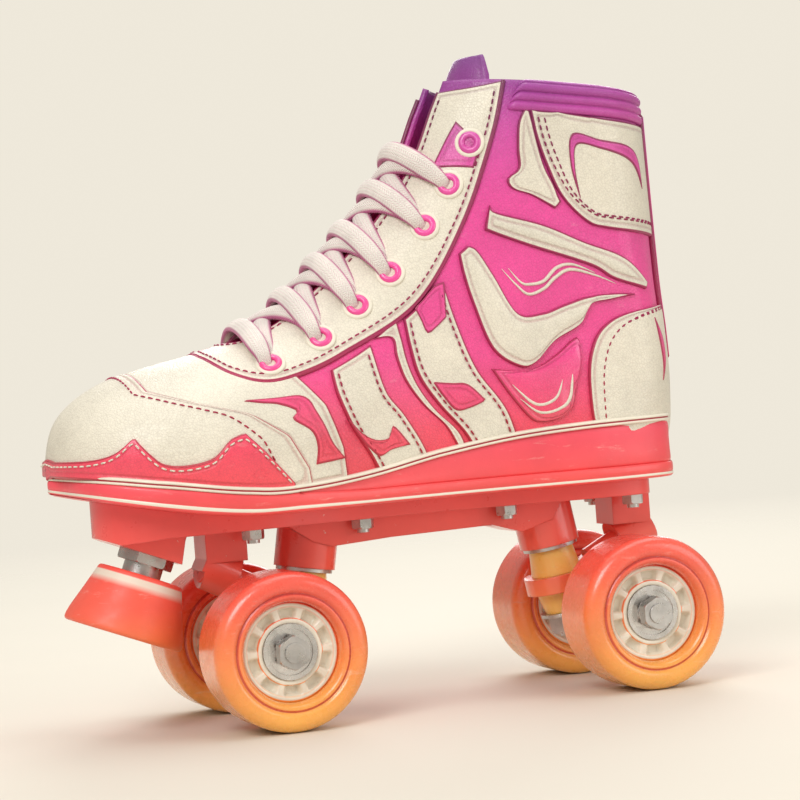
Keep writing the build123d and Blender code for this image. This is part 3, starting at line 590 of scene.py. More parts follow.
def turned_steel(name, colour=(0.62, 0.60, 0.58), rough=0.28, soft_edge=0.0003):
    """Plated steel: fine turning lines, a little tarnish and softly rounded edges."""
    f = Finish(name)
    tarnish = f.noise(130.0, 5.0)
    f.set(Base_Color=f.tinted(colour, tarnish, 0.72, 1.08), Metallic=1.0)
    lines = f.noise(260.0, 4.0, (1.0, 14.0, 1.0))
    f.set(Roughness=f.fit(f.noise(300.0, 4.0), 0.3, 0.7, rough - 0.06, rough + 0.16))
    f.bumps((lines, 0.0001, 0.25), (f.noise(2100.0, 2.0), 0.00005, 0.3), edge_radius=soft_edge)
    return f.material


def thread(name, colour):
    """Twisted sewing thread: fine slanted plies, slightly waxed."""
    f = Finish(name)
    base = f.dye(colour)
    plies = f.node("TexWave", {"Vector": f.coords, "Scale": 700.0, "Distortion": 2.0},
                   bands_direction="DIAGONAL").outputs["Fac"]
    f.set(Base_Color=f.tinted(base, plies, 0.75, 1.1), Roughness=0.6)
    f.bumps((plies, 0.0002, 0.6))
    return f.material


CREAM = (0.80, 0.745, 0.62)
RECIPES = {
    "pink_leather": (leather, BODY_STOPS),
    "cream_leather": (leather, CREAM, 0.9, True, 0.12, 0.40),
    "soft_leather": (leather, BODY_STOPS, 0.7, False, 0.15, 0.42),
    "sole_leather": (leather, BODY_STOPS, 0.5, True, 0.35, 0.30),
    "gloss_leather": (leather, BODY_STOPS, 0.4, True, 0.7, 0.22),
    # Cream cords that stand for painted highlights on the ankle's pink leather.
    "cream_cord": (leather, CREAM, 0.5, False, 0.2, 0.35),
    "raspberry_cord": (leather, LINE_STOPS, 0.5, False, 0.2, 0.4),
    "lining_cloth": (textile, BODY_STOPS),
    "footbed_cloth": (textile, (0.66, 0.30, 0.34)),
    "board_fibre": (textile, (0.42, 0.26, 0.17)),
    # The lace's second colour is painted shade for its weave's hollows and narrow edges.
    "lace_weave": (woven, (0.88, 0.84, 0.75), (0.52, 0.09, 0.25)),
    "cream_thread": (thread, CREAM),
    "raspberry_thread": (thread, LINE_STOPS),
    "sole_rubber": (moulded, BODY_STOPS, 0.40, 0.2),
    "cream_rubber": (moulded, CREAM, 0.42, 0.1),
    "cushion_urethane": (moulded, (0.88, 0.50, 0.12), 0.3, 0.3, 0.03, 0.0006, 0.2),
    "stop_rubber": (striped, BODY_STOPS, CREAM, 0.48, 0.05),
    "wheel_urethane": (striped, BODY_STOPS, LINE_STOPS, 0.24, 0.5, 0.12),
    "hub_nylon": (striped, CREAM, BODY_STOPS, 0.30, 0.35),
    "striped_rubber": (striped, CREAM, LINE_STOPS),
    # Coral rubber whose cream line is a painted highlight along the outsole's side.
    "striped_coral": (striped, BODY_STOPS, CREAM),
    "casting_paint": (painted, BODY_STOPS),
    "eyelet_paint": (painted, BODY_STOPS),
    "plated_steel": (turned_steel,),
    "bearing_steel": (turned_steel, (0.72, 0.70, 0.68), 0.2, 0.0002),
}
FINISHES = {}


def finish(name):
    """The finish of that name, made when it is first asked for."""
    if name not in FINISHES:
        maker, *values = RECIPES[name]
        FINISHES[name] = maker(name, *values)
    return FINISHES[name]


def dress(piece, name):
    """Give a new piece its finish in a material slot of its own."""
    piece.data.materials.append(finish(name))
    return piece


def dress_nodes(name, *nodes):
    """Give the frame's own nodes a finish."""
    for node in nodes:
        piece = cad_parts[node]
        if not piece.material_slots:
            piece.data.materials.append(finish(name))
        for held in piece.material_slots:
            held.material = finish(name)


# ---- Sizes and colours that a user changes ----
def size(label, description, default, low=0.0, high=20.0):
    """A length in millimetres for the panel."""
    return FloatProperty(name=label, description=description, default=default, min=low,
                         max=high, precision=2)


class SkateBootSettings(bpy.types.PropertyGroup):
    """Sizes of the boot's leather, sewing and padding."""
    wall: size("Leather wall", "Thickness of the vamp and quarters, in millimetres", 2.6)
    panel: size("Panel", "Thickness of the panels sewn on the boot, in millimetres", 1.45)
    edge_round: size("Edge round", "Radius of a panel's rolled edge, in millimetres", 0.8)
    stitch_gap: size("Stitch inset", "Distance from a panel's edge to its seam, in millimetres",
                     2.7)
    stitch_pitch: size("Stitch pitch", "Distance between two stitches, in millimetres", 3.3)
    stitch_length: size("Stitch length", "Length of one stitch, in millimetres", 2.3)
    thread: size("Thread", "Radius of the sewing thread, in millimetres", 0.36)
    collar_puff: size("Collar padding", "Height of the collar's padding, in millimetres", 2.2)
    tongue_crown: size("Tongue crown", "Height of the tongue's padding, in millimetres", 1.6)


class SkateLaceSettings(bpy.types.PropertyGroup):
    """Sizes of the lace and its eyelets."""
    half_width: size("Lace half width", "Half of the flat lace's width, in millimetres", 4.3)
    half_thick: size("Lace half thickness", "Half of the lace's thickness, in millimetres", 2.3)
    eyelet: size("Eyelet radius", "Outer radius of an eyelet's flange, in millimetres", 4.6)
    washer: size("Washer radius", "Outer radius of the ring under an eyelet, in millimetres", 6.1)


class SkateWheelSettings(bpy.types.PropertyGroup):
    """Sizes of the wheels and the toe stop."""
    shoulder: size("Shoulder", "Radius of the tyre's shoulder, in millimetres", 5.0)
    spokes: IntProperty(name="Spokes", description="Number of spokes in a hub", default=10,
                        min=3, max=24)
    spoke_depth: size("Spoke depth", "Depth of the hub's pockets, in millimetres", 3.0)
    stop_round: size("Stop round", "Radius of the toe stop's edges, in millimetres", 2.4)


class SkateStageSettings(bpy.types.PropertyGroup):
    """The floor, the lights and the camera."""
    floor: FloatVectorProperty(name="Floor", description="Colour of the floor and backdrop",
                               subtype="COLOR", default=(0.86, 0.81, 0.705), min=0, max=1)
    azimuth: FloatProperty(name="Azimuth", description="Turn of the camera from the outer side",
                           subtype="ANGLE", default=math.radians(-19.0))
    elevation: FloatProperty(name="Elevation", description="Height of the camera as an angle",
                             subtype="ANGLE", default=math.radians(0.8))
    roll: FloatProperty(name="Roll", description="Lean of the camera about its own line",
                        subtype="ANGLE", default=math.radians(4.2))
    distance: FloatProperty(name="Distance", description="From the camera to the skate",
                            subtype="DISTANCE", default=1.102)
    lens: FloatProperty(name="Lens", description="Focal length in millimetres", default=121.3)
    key_light: FloatProperty(name="Key light", description="Strength of the main lamp",
                             subtype="POWER", default=19.0)
    ambient: FloatProperty(name="Ambient", description="Light from the backdrop, as a share",
                           subtype="FACTOR", default=0.5, min=0, max=1)


def settings(part):
    """The scene's settings of that part: boot, lace, wheels or stage."""
    return getattr(bpy.context.scene, "skate_" + part)


# ---- Panels on the boot ----
BODY = "boot_and_plate"
VAMP_LINE = [(-60, 160), (-52, 139), (-40, 137), (-30, 125), (-24, 108), (-22, 85)]
CAP_LINE = [(-101, 152), (-96, 134), (-80, 128.5), (-60, 123), (-46, 114), (-38.5, 101),
            (-36, 84)]
SIDES = (("lateral", LATERAL), ("medial", MEDIAL))


def line_u(v, line, behind=0.0):
    """For each v the u where the boot crosses a line running down its side, in (x, z)."""
    line = np.asarray(line, float)[::-1]

    def in_front(u):
        p = boot(u, v)
        return p[..., 0] < np.interp(p[..., 2], line[:, 1], line[:, 0]) + behind
    return solve(in_front, np.full(np.shape(v), 0.5), np.full(np.shape(v), 16.0))


def rolled(distance, thickness, radius):
    """A panel's height over its bed: a quarter round at the edge, then level."""
    d = np.clip(distance / radius, 0, 1)
    return thickness * (0.25 + 0.75 * np.sqrt(1 - (1 - d) ** 2))


def slab(name, uv, bed, thickness, sink=0.4, puff=None):
    """A closed sheet over the boot from a grid of (u, v): its top lies at the rolled height,
    plus puff where it is padded, and its underside sinks a little into what carries it."""
    boot_set = settings("boot")
    u, v = uv[..., 0], uv[..., 1]
    distance = edge_distance(on_boot(u, v, bed + thickness))
    height = bed + rolled(distance, thickness, boot_set.edge_round)
    if puff is not None:
        height = height + puff
    top = on_boot(u, v, height)
    low = on_boot(u, v, np.full(u.shape, bed - sink))
    faces = slab_faces(*u.shape)
    i, j = u.shape[0] // 2, u.shape[1] // 2
    along, across = top[i + 1, j] - top[i, j], top[i, j + 1] - top[i, j]
    if np.dot(np.cross(along, across), top[i, j] - low[i, j]) < 0:
        faces = faces[:, ::-1]
    marks = np.concatenate([distance.ravel(), np.zeros(distance.size)])
    return put_mesh(name, np.concatenate([top.reshape(-1, 3), low.reshape(-1, 3)]), faces,
                    BODY, edge=marks)


def back_line(first):
    """Points of the boot's back line at the heights of the points of another line."""
    u = np.linspace(13.5, LAST_U, 300)
    z = boot(u, np.ones(len(u)))[:, 2]
    heights = boot(*first.T)[:, 2]
    order = np.argsort(z)
    return np.stack([np.interp(heights, z[order], u[order]), np.ones(len(heights))], -1)


def between(first, second, side, step=1.3):
    """A grid of (u, v) between two lines drawn in side view as (x, z) points, the second one
    the boot's back line where it isn't given: each line is found on the boot, and the grid
    runs straight from one to the other in (u, v)."""
    a = find_on_boot(smooth_line(first, 160))
    b = back_line(a) if second is None else find_on_boot(smooth_line(second, 160))
    centre = boot(*((a + b) / 2).T)
    length = np.linalg.norm(np.diff(centre, axis=0), axis=1).sum()
    width = np.linalg.norm(boot(*a.T) - boot(*b.T), axis=1).max()
    s, t = spaced(length, step), spaced(width, step)
    at = np.linspace(0, 1, len(a))
    rows = [np.stack([np.interp(s, at, line[:, k]) for k in (0, 1)], -1) for line in (a, b)]
    grid = rows[0][:, None] + (rows[1] - rows[0])[:, None] * t[None, :, None]
    grid[..., 1] *= side
    return grid


def seam(uv, height, inset, edges="ab"):
    """Points along a grid's long edges or ends, inset millimetres inside them: 'a' and 'b' are
    the first and last columns, 's' and 'e' the first and last rows."""
    found = []
    p = boot(uv[..., 0], uv[..., 1])
    if "a" in edges or "b" in edges:
        run = np.cumsum(np.r_[np.zeros((1, len(p))), np.linalg.norm(np.diff(p, axis=1),
                                                                    axis=2).T], 0).T
        for edge in edges:
            if edge not in "ab":
                continue
            want = np.full(len(p), inset) if edge == "a" else run[:, -1] - inset
            want = np.clip(want, run[:, -1] * 0.1, run[:, -1] * 0.9)
            below = (run < want[:, None]).sum(1).clip(1, run.shape[1] - 1)
            rows = np.arange(len(p))
            f = (want - run[rows, below - 1]) / (run[rows, below] - run[rows, below - 1])
            line = uv[rows, below - 1] + (uv[rows, below] - uv[rows, below - 1]) * f[:, None]
            found.append((line, height))
    if "s" in edges or "e" in edges:
        turned = np.swapaxes(uv, 0, 1)
        swap = {"s": "a", "e": "b"}
        found += seam(turned, height, inset, "".join(swap[e] for e in edges if e in "se"))
    return found


def stitches(name, lines, finish_name="raspberry_thread", skip=3.0):
    """Short capsules along lines on the boot.  Each stitch is a ring of points around its own
    length: place plus cosine and sine times the thread's radius, which closes at the ends,
    and its middle lies higher than its ends, which dip into the leather."""
    boot_set = settings("boot")
    starts, ends, ups = [], [], []
    for uv, height in lines:
        p = on_boot(uv[:, 0], uv[:, 1], np.full(len(uv), height))
        n = boot_normal(uv[:, 0], uv[:, 1])
        run = np.r_[0, np.cumsum(np.linalg.norm(np.diff(p, axis=0), axis=1))] / MM
        if run[-1] < 2 * skip + boot_set.stitch_pitch:
            continue
        count = int((run[-1] - 2 * skip) / boot_set.stitch_pitch)
        first = skip + np.arange(count) * (run[-1] - 2 * skip) / count
        for store, at in ((starts, first), (ends, first + boot_set.stitch_length)):
            store.append(np.stack([np.interp(at, run, p[:, k]) for k in range(3)], -1))
        ups.append(np.stack([np.interp(first, run, n[:, k]) for k in range(3)], -1))
    a, b, up = (np.concatenate(x) for x in (starts, ends, ups))
    ahead = (b - a) / np.linalg.norm(b - a, axis=1, keepdims=True)
    side = np.cross(ahead, up)
    share = np.array([0.0, 0.1, 0.5, 0.9, 1.0])
    thick = np.array([0.25, 0.85, 1.0, 0.85, 0.25]) * boot_set.thread * MM
    lift = np.array([-0.25, 0.1, 0.32, 0.1, -0.25]) * MM
    angle = np.linspace(0, 2 * np.pi, 6, endpoint=False)
    ring = (side[:, None, None] * np.cos(angle)[None, None, :, None]
            + up[:, None, None] * np.sin(angle)[None, None, :, None])
    place = a[:, None] + (b - a)[:, None] * share[None, :, None] + up[:, None] * lift[None, :, None]
    verts = place[:, :, None] + ring * thick[None, :, None, None]
    count = len(a)
    one = grid_faces(5, 6, 0, wrap_columns=True)
    caps = np.array([(0, 1, 2, 3), (0, 3, 4, 5), (27, 26, 25, 24), (29, 28, 27, 24)])
    one = np.concatenate([one[:, ::-1], caps])
    faces = (one[None] + (np.arange(count) * 30)[:, None, None]).reshape(-1, 4)
    piece = put_mesh(name, verts.reshape(-1, 3), faces, BODY)
    outward(piece)
    return dress(piece, finish_name)


def outward(piece, weld=False):
    """Welds coincident points where asked and turns every face outwards."""
    mesh = piece.data
    work = bmesh.new()
    work.from_mesh(mesh)
    if weld:
        bmesh.ops.remove_doubles(work, verts=work.verts, dist=2e-6)
    bmesh.ops.recalc_face_normals(work, faces=work.faces)
    work.to_mesh(mesh)
    work.free()


def tube_piece(name, paths, radius, sides=8, flat=1.0, ups=None, body=BODY):
    """Cords along several paths as one piece, each ring closed and each end capped."""
    verts, faces, run, across, start = [], [], [], [], 0
    for k, path in enumerate(paths):
        up = None if ups is None else ups[k]
        thick = radius[k] if isinstance(radius, list) else radius
        ring = tube_points(path, thick, sides, flat, up)
        verts.append(ring.reshape(-1, 3))
        faces += tube_faces(len(path), sides, start)
        start += len(path) * sides
        length = np.r_[0, np.cumsum(np.linalg.norm(np.diff(path, axis=0), axis=1))] / MM
        run.append(np.repeat(length, sides))
        turn = np.linspace(0, 2 * np.pi, sides, endpoint=False)
        across.append(np.tile(np.cos(turn) * np.max(thick) / MM, len(path)))
    piece = put_mesh(name, np.concatenate(verts), faces, body, run=np.concatenate(run),
                     across=np.concatenate(across))
    outward(piece)
    return piece


# ---- Operators: the boot ----
BED = 0.05                      # millimetres between the boot and what is sewn on it
SEAM_ROWS = 2.6                 # millimetres between the two rows of a double seam
UNDYED = 9.0                    # a mark of no edge near, so that no edge dye shows
COLLAR_FROM_U = 15.5            # boot station at which the collar band begins
TONGUE_DEPTH = 9.9              # how far the tongue lies under the eyestays
TONGUE_EASE = 0.004             # metres under the tongue's top in which it flattens
U_TABLE = np.linspace(0, LAST_U, 400)
FEATHER_W = np.abs(feather_v(U_TABLE, 1.0, 2.0))
W_TABLE = np.linspace(0.0, 1.0, 240)


def wrapped(start, end, s, t):
    """A grid of (u, v) over the foot from sole to sole.  Rows run from the line start to the
    line end, each a table of u against the size of v, columns from -1 to 1 across; rows under
    zero close the toe.  Both are looked up in turn until they settle."""
    s, t = np.meshgrid(s, t, indexing="ij")
    u = np.full(s.shape, 6.0)
    for _ in range(60):
        w = np.abs(t) * np.interp(u, U_TABLE, FEATHER_W)
        a, b = np.interp(w, W_TABLE, start), np.interp(w, W_TABLE, end)
        u = 0.5 * u + 0.5 * (a + (b - a) * np.clip(s, 0, 1))
    return np.stack([np.where(s < 0, s, u), np.sign(t) * w], -1)


TOE_ROWS = -np.cos(np.linspace(0, np.pi / 2, 9))[:-1]


class SKATE_OT_vamp(bpy.types.Operator):
    """Makes the vamp: the leather over the toes and the ball of the foot"""
    bl_idname = "skate.vamp"
    bl_label = "Vamp"
    bl_options = {"REGISTER", "UNDO"}

    def execute(self, context):
        """The boot's form from the closed toe to the vamp's rear line, as a closed sheet."""
        wall = settings("boot").wall
        rows = np.r_[TOE_ROWS, np.linspace(0, 1, 92)]
        uv = wrapped(np.zeros(len(W_TABLE)), line_u(W_TABLE, VAMP_LINE), rows,
                     np.linspace(-1, 1, 141))
        u, v = uv[..., 0], uv[..., 1]
        outer = on_boot(u, v, np.zeros(u.shape))
        inner = on_boot(u, v, np.full(u.shape, -wall))
        toe = np.argmax(rows > 0.02)
        inner[:toe, :, 0] = np.maximum(inner[:toe, :, 0], outer[:toe, :, 0] + wall * MM)
        verts = np.concatenate([outer.reshape(-1, 3), inner.reshape(-1, 3)])
        piece = put_mesh("vamp_leather", verts, slab_faces(*u.shape), BODY,
                         edge=np.full(len(verts), UNDYED))
        outward(piece, weld=True)
        dress(piece, "pink_leather")
        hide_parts("vamp")
        return {"FINISHED"}


class SKATE_OT_quarters(bpy.types.Operator):
    """Makes the two quarters: the leather round the heel and ankle"""
    bl_idname = "skate.quarters"
    bl_label = "Quarters"
    bl_options = {"REGISTER", "UNDO"}

    def execute(self, context):
        """Rows run from the vamp's line to the collar and columns from the throat to the sole,
        each bound looked up again as the other moves, until they settle."""
        wall = settings("boot").wall
        w_line = np.linspace(0.02, 1.0, 240)
        front = line_u(w_line, VAMP_LINE, -3.0)
        top = collar_u(w_line, start=COLLAR_FROM_U)
        u_line = np.linspace(5.0, LAST_U, 260)
        inner_edge = np.abs(throat_v(u_line))
        outer_edge = np.abs(feather_v(u_line, 1.0, 2.0))
        s, t = np.meshgrid(np.linspace(0, 1, 171), np.linspace(0, 1, 111), indexing="ij")
        for name, side in SIDES:
            u, w = 7 + 11 * s, 0.2 + 0.7 * t
            for _ in range(60):
                low = np.interp(u, u_line, inner_edge)
                high = np.interp(u, u_line, outer_edge)
                w = 0.5 * w + 0.5 * (low + (high - low) * t)
                start = np.interp(w, w_line, front)
                end = np.interp(w, w_line, top)
                u = 0.5 * u + 0.5 * (start + (end - start) * s)
            v = side * w
            outer = on_boot(u, v, np.zeros(u.shape))
            inner = on_boot(u, v, np.full(u.shape, -wall))
            verts = np.concatenate([outer.reshape(-1, 3), inner.reshape(-1, 3)])
            piece = put_mesh("quarter_leather_" + name, verts, slab_faces(*u.shape), BODY,
                             edge=np.full(len(verts), UNDYED))
            outward(piece)
            dress(piece, "pink_leather")
            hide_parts("quarter_" + name)
        return {"FINISHED"}


def around_toe(turn, z, side):
    """The (u, v) of the boot's points at an angle from straight ahead, seen from above about
    a point under the ball of the foot, and at a height: the nearest of a grid, then Newton."""
    centre = np.array([-45.0, 1.0])

    def view(p):
        return np.stack([np.arctan2((p[..., 1] - centre[1]) * side, centre[0] - p[..., 0]) * 60.0,
                         p[..., 2]], -1)
    seek_u, seek_w = np.meshgrid(np.linspace(-0.95, 9.0, 130), np.linspace(0.0, 0.85, 90),
                                 indexing="ij")
    known = view(boot(seek_u, side * seek_w)).reshape(-1, 2)
    want = np.stack([turn.ravel() * 60.0, z.ravel()], -1)
    best = np.concatenate([((part[:, None] - known[None]) ** 2).sum(-1).argmin(1)
                           for part in np.array_split(want, max(len(want) // 400, 1))])
    u, w = seek_u.ravel()[best].copy(), seek_w.ravel()[best].copy()
    for _ in range(10):
        e = want - view(boot(u, side * w))
        du = (view(boot(u + 0.01, side * w)) - view(boot(u - 0.01, side * w))) / 0.02
        dw = (view(boot(u, side * (w + 0.002))) - view(boot(u, side * (w - 0.002)))) / 0.004
        det = du[:, 0] * dw[:, 1] - du[:, 1] * dw[:, 0]
        det = np.where(np.abs(det) < 1e-2, 1e9, det)
        u = u + np.clip((e[:, 0] * dw[:, 1] - e[:, 1] * dw[:, 0]) / det, -0.1, 0.1)
        w = w + np.clip((du[:, 0] * e[:, 1] - du[:, 1] * e[:, 0]) / det, -0.02, 0.02)
        u, w = np.clip(u, -0.97, 9.5), np.clip(w, 0.003, 0.9)
    return u.reshape(turn.shape), (side * w).reshape(turn.shape)


SCALLOPS = [(-129.2, 110), (-120, 110), (-112, 112), (-105, 117), (-104, 116), (-100, 111),
            (-95, 107), (-87, 106), (-77, 108), (-70, 114), (-64, 116), (-63, 115), (-57, 109),
            (-50, 101), (-45, 95)]


class SKATE_OT_toe(bpy.types.Operator):
    """Makes the toe cap, the scalloped toe bumper and the vamp panel behind the cap"""
    bl_idname = "skate.toe"
    bl_label = "Toe cap"
    bl_options = {"REGISTER", "UNDO"}

    def execute(self, context):
        boot_set = settings("boot")
        panel = boot_set.panel
        rows = np.r_[TOE_ROWS, np.linspace(0, 1, 80)[:-3], 1 - np.array([0.012, 0.007, 0.003, 0])]
        across = np.linspace(-1, 1, 141)
        cap = wrapped(np.zeros(len(W_TABLE)), line_u(W_TABLE, CAP_LINE), rows, across)
        piece = slab("toe_cap_leather", cap, BED, panel, 0.3)
        outward(piece, weld=True)
        dress(piece, "cream_leather")
        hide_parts("toe_cap")
        near = np.r_[0, 0.004, 0.012, 0.024, np.linspace(0.04, 0.96, 44), 0.976, 0.988, 0.996, 1]
        ball = wrapped(line_u(W_TABLE, CAP_LINE, -3.0), line_u(W_TABLE, VAMP_LINE, 1.0), near,
                       across)
        seams = seam(cap, panel + BED, boot_set.stitch_gap, "e")
        seams += seam(cap, panel + BED, boot_set.stitch_gap + SEAM_ROWS, "e")
        piece = slab("vamp_panel", ball, BED, panel * 0.75, 0.3)
        dress(piece, "cream_leather")
        stitches("toe_stitching", seams)
        self.bumper(panel + BED)
        return {"FINISHED"}

    def bumper(self, bed):
        """The bumper's bounds are heights against the angle round the toe: the sole's edge
        below and the scallops above.  Rows go round the toe and columns rise between them."""
        turn_rows, low_rows, high_rows = [], [], []
        for side in (LATERAL, MEDIAL):
            u = np.linspace(0.0, 8.6, 200)
            foot = boot(u, feather_v(u, side, 1.5))
            edge_uv = find_on_boot(smooth_line(SCALLOPS, 160))
            edge = boot(edge_uv[:, 0], side * edge_uv[:, 1])
            turns = [np.arctan2((p[:, 1] - 1.0) * side, -45.0 - p[:, 0]) for p in (foot, edge)]
            turn = np.linspace(0.0, np.pi / 2 - 0.01, 130)
            order = [np.argsort(t) for t in turns]
            low = np.interp(turn, turns[0][order[0]], foot[order[0], 2])
            high = np.interp(turn, turns[1][order[1]], edge[order[1], 2])
            high = np.maximum(high, low + 0.4)
            turn_rows.append(turn)
            low_rows.append(low)
            high_rows.append(high)
        t = np.r_[0, 0.02, 0.06, np.linspace(0.12, 0.88, 18), 0.93, 0.965, 0.985, 1]
        grids = []
        for k, side in enumerate((LATERAL, MEDIAL)):
            z = low_rows[k][:, None] + (high_rows[k] - low_rows[k])[:, None] * t[None]
            grids.append(np.stack(around_toe(np.broadcast_to(turn_rows[k][:, None], z.shape), z,
                                             side), -1))
        uv = np.concatenate([grids[0][::-1], grids[1][1:]])
        piece = slab("toe_bumper", uv, bed, 1.2, 0.5)
        outward(piece)
        dress(piece, "sole_leather")
        stitches("toe_bumper_rim", seam(uv, bed + 1.2, 1.9, "b"), "cream_thread")


STRIPE_A = ([(-25, 138), (-24, 128), (-19, 115), (-12, 104), (-6, 92)],
            [(-7, 147), (-3, 129), (5, 118), (13, 104), (16, 92)])
STRIPE_B = ([(8, 156), (9, 145), (12, 133), (20, 121), (31, 108), (38, 92)],
            [(26, 170), (31, 152), (38, 134), (50, 116), (56, 92)])
MIDDLE_PANEL = ([(-5, 149), (2, 149), (3, 141), (6, 132), (13, 122), (22, 113), (27, 104)],
                [(5, 157), (6.5, 148), (8, 139), (12, 129), (19, 119), (28, 110), (31, 103)])
CHEVRON = ([(34, 181), (35, 173), (38, 161), (45, 142), (56, 134), (63, 135), (72, 143),
            (84, 149), (89, 157), (98, 158.5), (110, 160)],
           [(38, 184), (42, 182), (48, 172), (57, 156), (68, 155), (77, 157.5), (86, 160),
            (92, 160.8), (98, 161), (104, 161), (110, 160.4)])
ANKLE_BAND = ([(46, 190), (53, 187), (66, 182), (91, 173), (101, 167), (116, 162)],
              [(49, 200), (51, 197), (71, 191), (89, 183), (106, 176), (117, 165)])
COLLAR_PATCH = ([(68, 238), (70, 227), (74, 215), (80, 202), (90, 191.5), (99, 188),
                 (121, 184.5), (128.6, 184)],
                [(80, 236), (90, 234.5), (100, 232.7), (110, 231.4), (117, 230.6), (121, 230.2),
                 (124.5, 229.8), (127, 229.5)])
HEEL_COUNTER = ([(131.3, 155.5), (126, 155.3), (118, 154.5), (105, 152.5), (97, 149.5),
                 (91, 144), (87, 134), (86, 122), (87, 108), (92, 100)], None)
SCALLOP = ([(66, 238), (63, 232), (62, 222), (62, 214), (57, 210), (59, 206), (67, 203),
            (77, 197)],
           [(68, 237.5), (69, 233), (70, 228), (72, 219), (74, 213), (77, 207), (79, 201.5),
            (80, 200)])
LOWER_PANEL = ([(44, 134), (51, 123), (59, 113), (64, 111), (72, 112), (78, 116)],
               [(56, 132), (60, 132), (66, 134), (73, 138), (83, 144), (81, 129)])
# LEAF is painted shade: a thin pink sheet in a leaf shape that darkens the cream vamp behind the toe
# cap.
LEAF = ([(-62, 128), (-55, 126.8), (-49, 126), (-42, 123), (-44, 120), (-37, 115), (-35, 109),
         (-36, 102)],
        [(-61, 128.4), (-49, 128.6), (-40, 129), (-36, 127), (-34, 123), (-31, 117),
         (-28, 110), (-23, 103.5)])
FLAME = ([(-21, 118), (-17, 112), (-13, 107), (-8, 103), (-3, 105), (2, 106)],
         [(-20.5, 118.4), (-15, 112.5), (-9, 109.5), (-3, 110), (-1, 114.5), (6, 106.5)])
STRIPE_TOP = ([(13, 160), (15, 155), (17, 150), (21, 152), (26, 156)],
              [(14, 161), (17, 163.5), (20, 166.5), (23, 169), (26.5, 170)])
STRIPE_LOW = ([(18, 130), (22, 124), (27, 118.5), (33, 119), (39, 121)],
              [(18.5, 130.5), (22, 130), (26, 129.5), (33, 128.5), (40, 122)])
# COLLAR_HOOK is painted shade: a thin pink sheet in a hook shape that darkens the cream collar patch
# like a crease's shadow.
COLLAR_HOOK = ([(88, 200.6), (84.5, 214.5), (85.8, 227), (98.5, 224), (112, 221), (117, 215),
                (118.4, 203.4)],
               [(88.2, 201), (86.4, 214), (88, 222.5), (99, 220), (110, 216), (115, 211.5),
                (118.3, 203.6)])
EYELET_INLAY = ([(40.5, 234.5), (37, 229), (33, 222), (29.5, 216)],
                [(46.5, 225.5), (46.5, 222), (45.5, 218.5), (44, 215)])
HEEL_LEAF = ([(118, 150), (120, 140), (121, 131), (120, 124)],
             [(118.3, 150.2), (122.5, 141), (123, 132), (120.4, 124)])
# Painted highlights: wavy lines for cream cords that stand for glints on the pink window and on the
# glossy lower panel; they are not sewn piping.
HIGHLIGHT_WAVES = ([(55, 174), (60, 168), (64, 167), (70, 168), (76, 173), (83, 174), (93, 170)],
         [(52, 174), (58, 167), (63, 163), (70, 165), (75, 169), (82, 172), (93, 169),
          (102, 165)],
         [(52, 127), (59, 120), (64, 118), (70, 120), (73, 125), (75, 133)],
         [(55, 121), (63, 115), (72, 116), (77, 121), (79, 136)])
EYESTAY_LOW = [(-71, 146.2), (-64, 139.2), (-52, 135), (-38, 137), (-19, 144), (14, 162), (37, 193),
               (52, 227), (59, 250)]


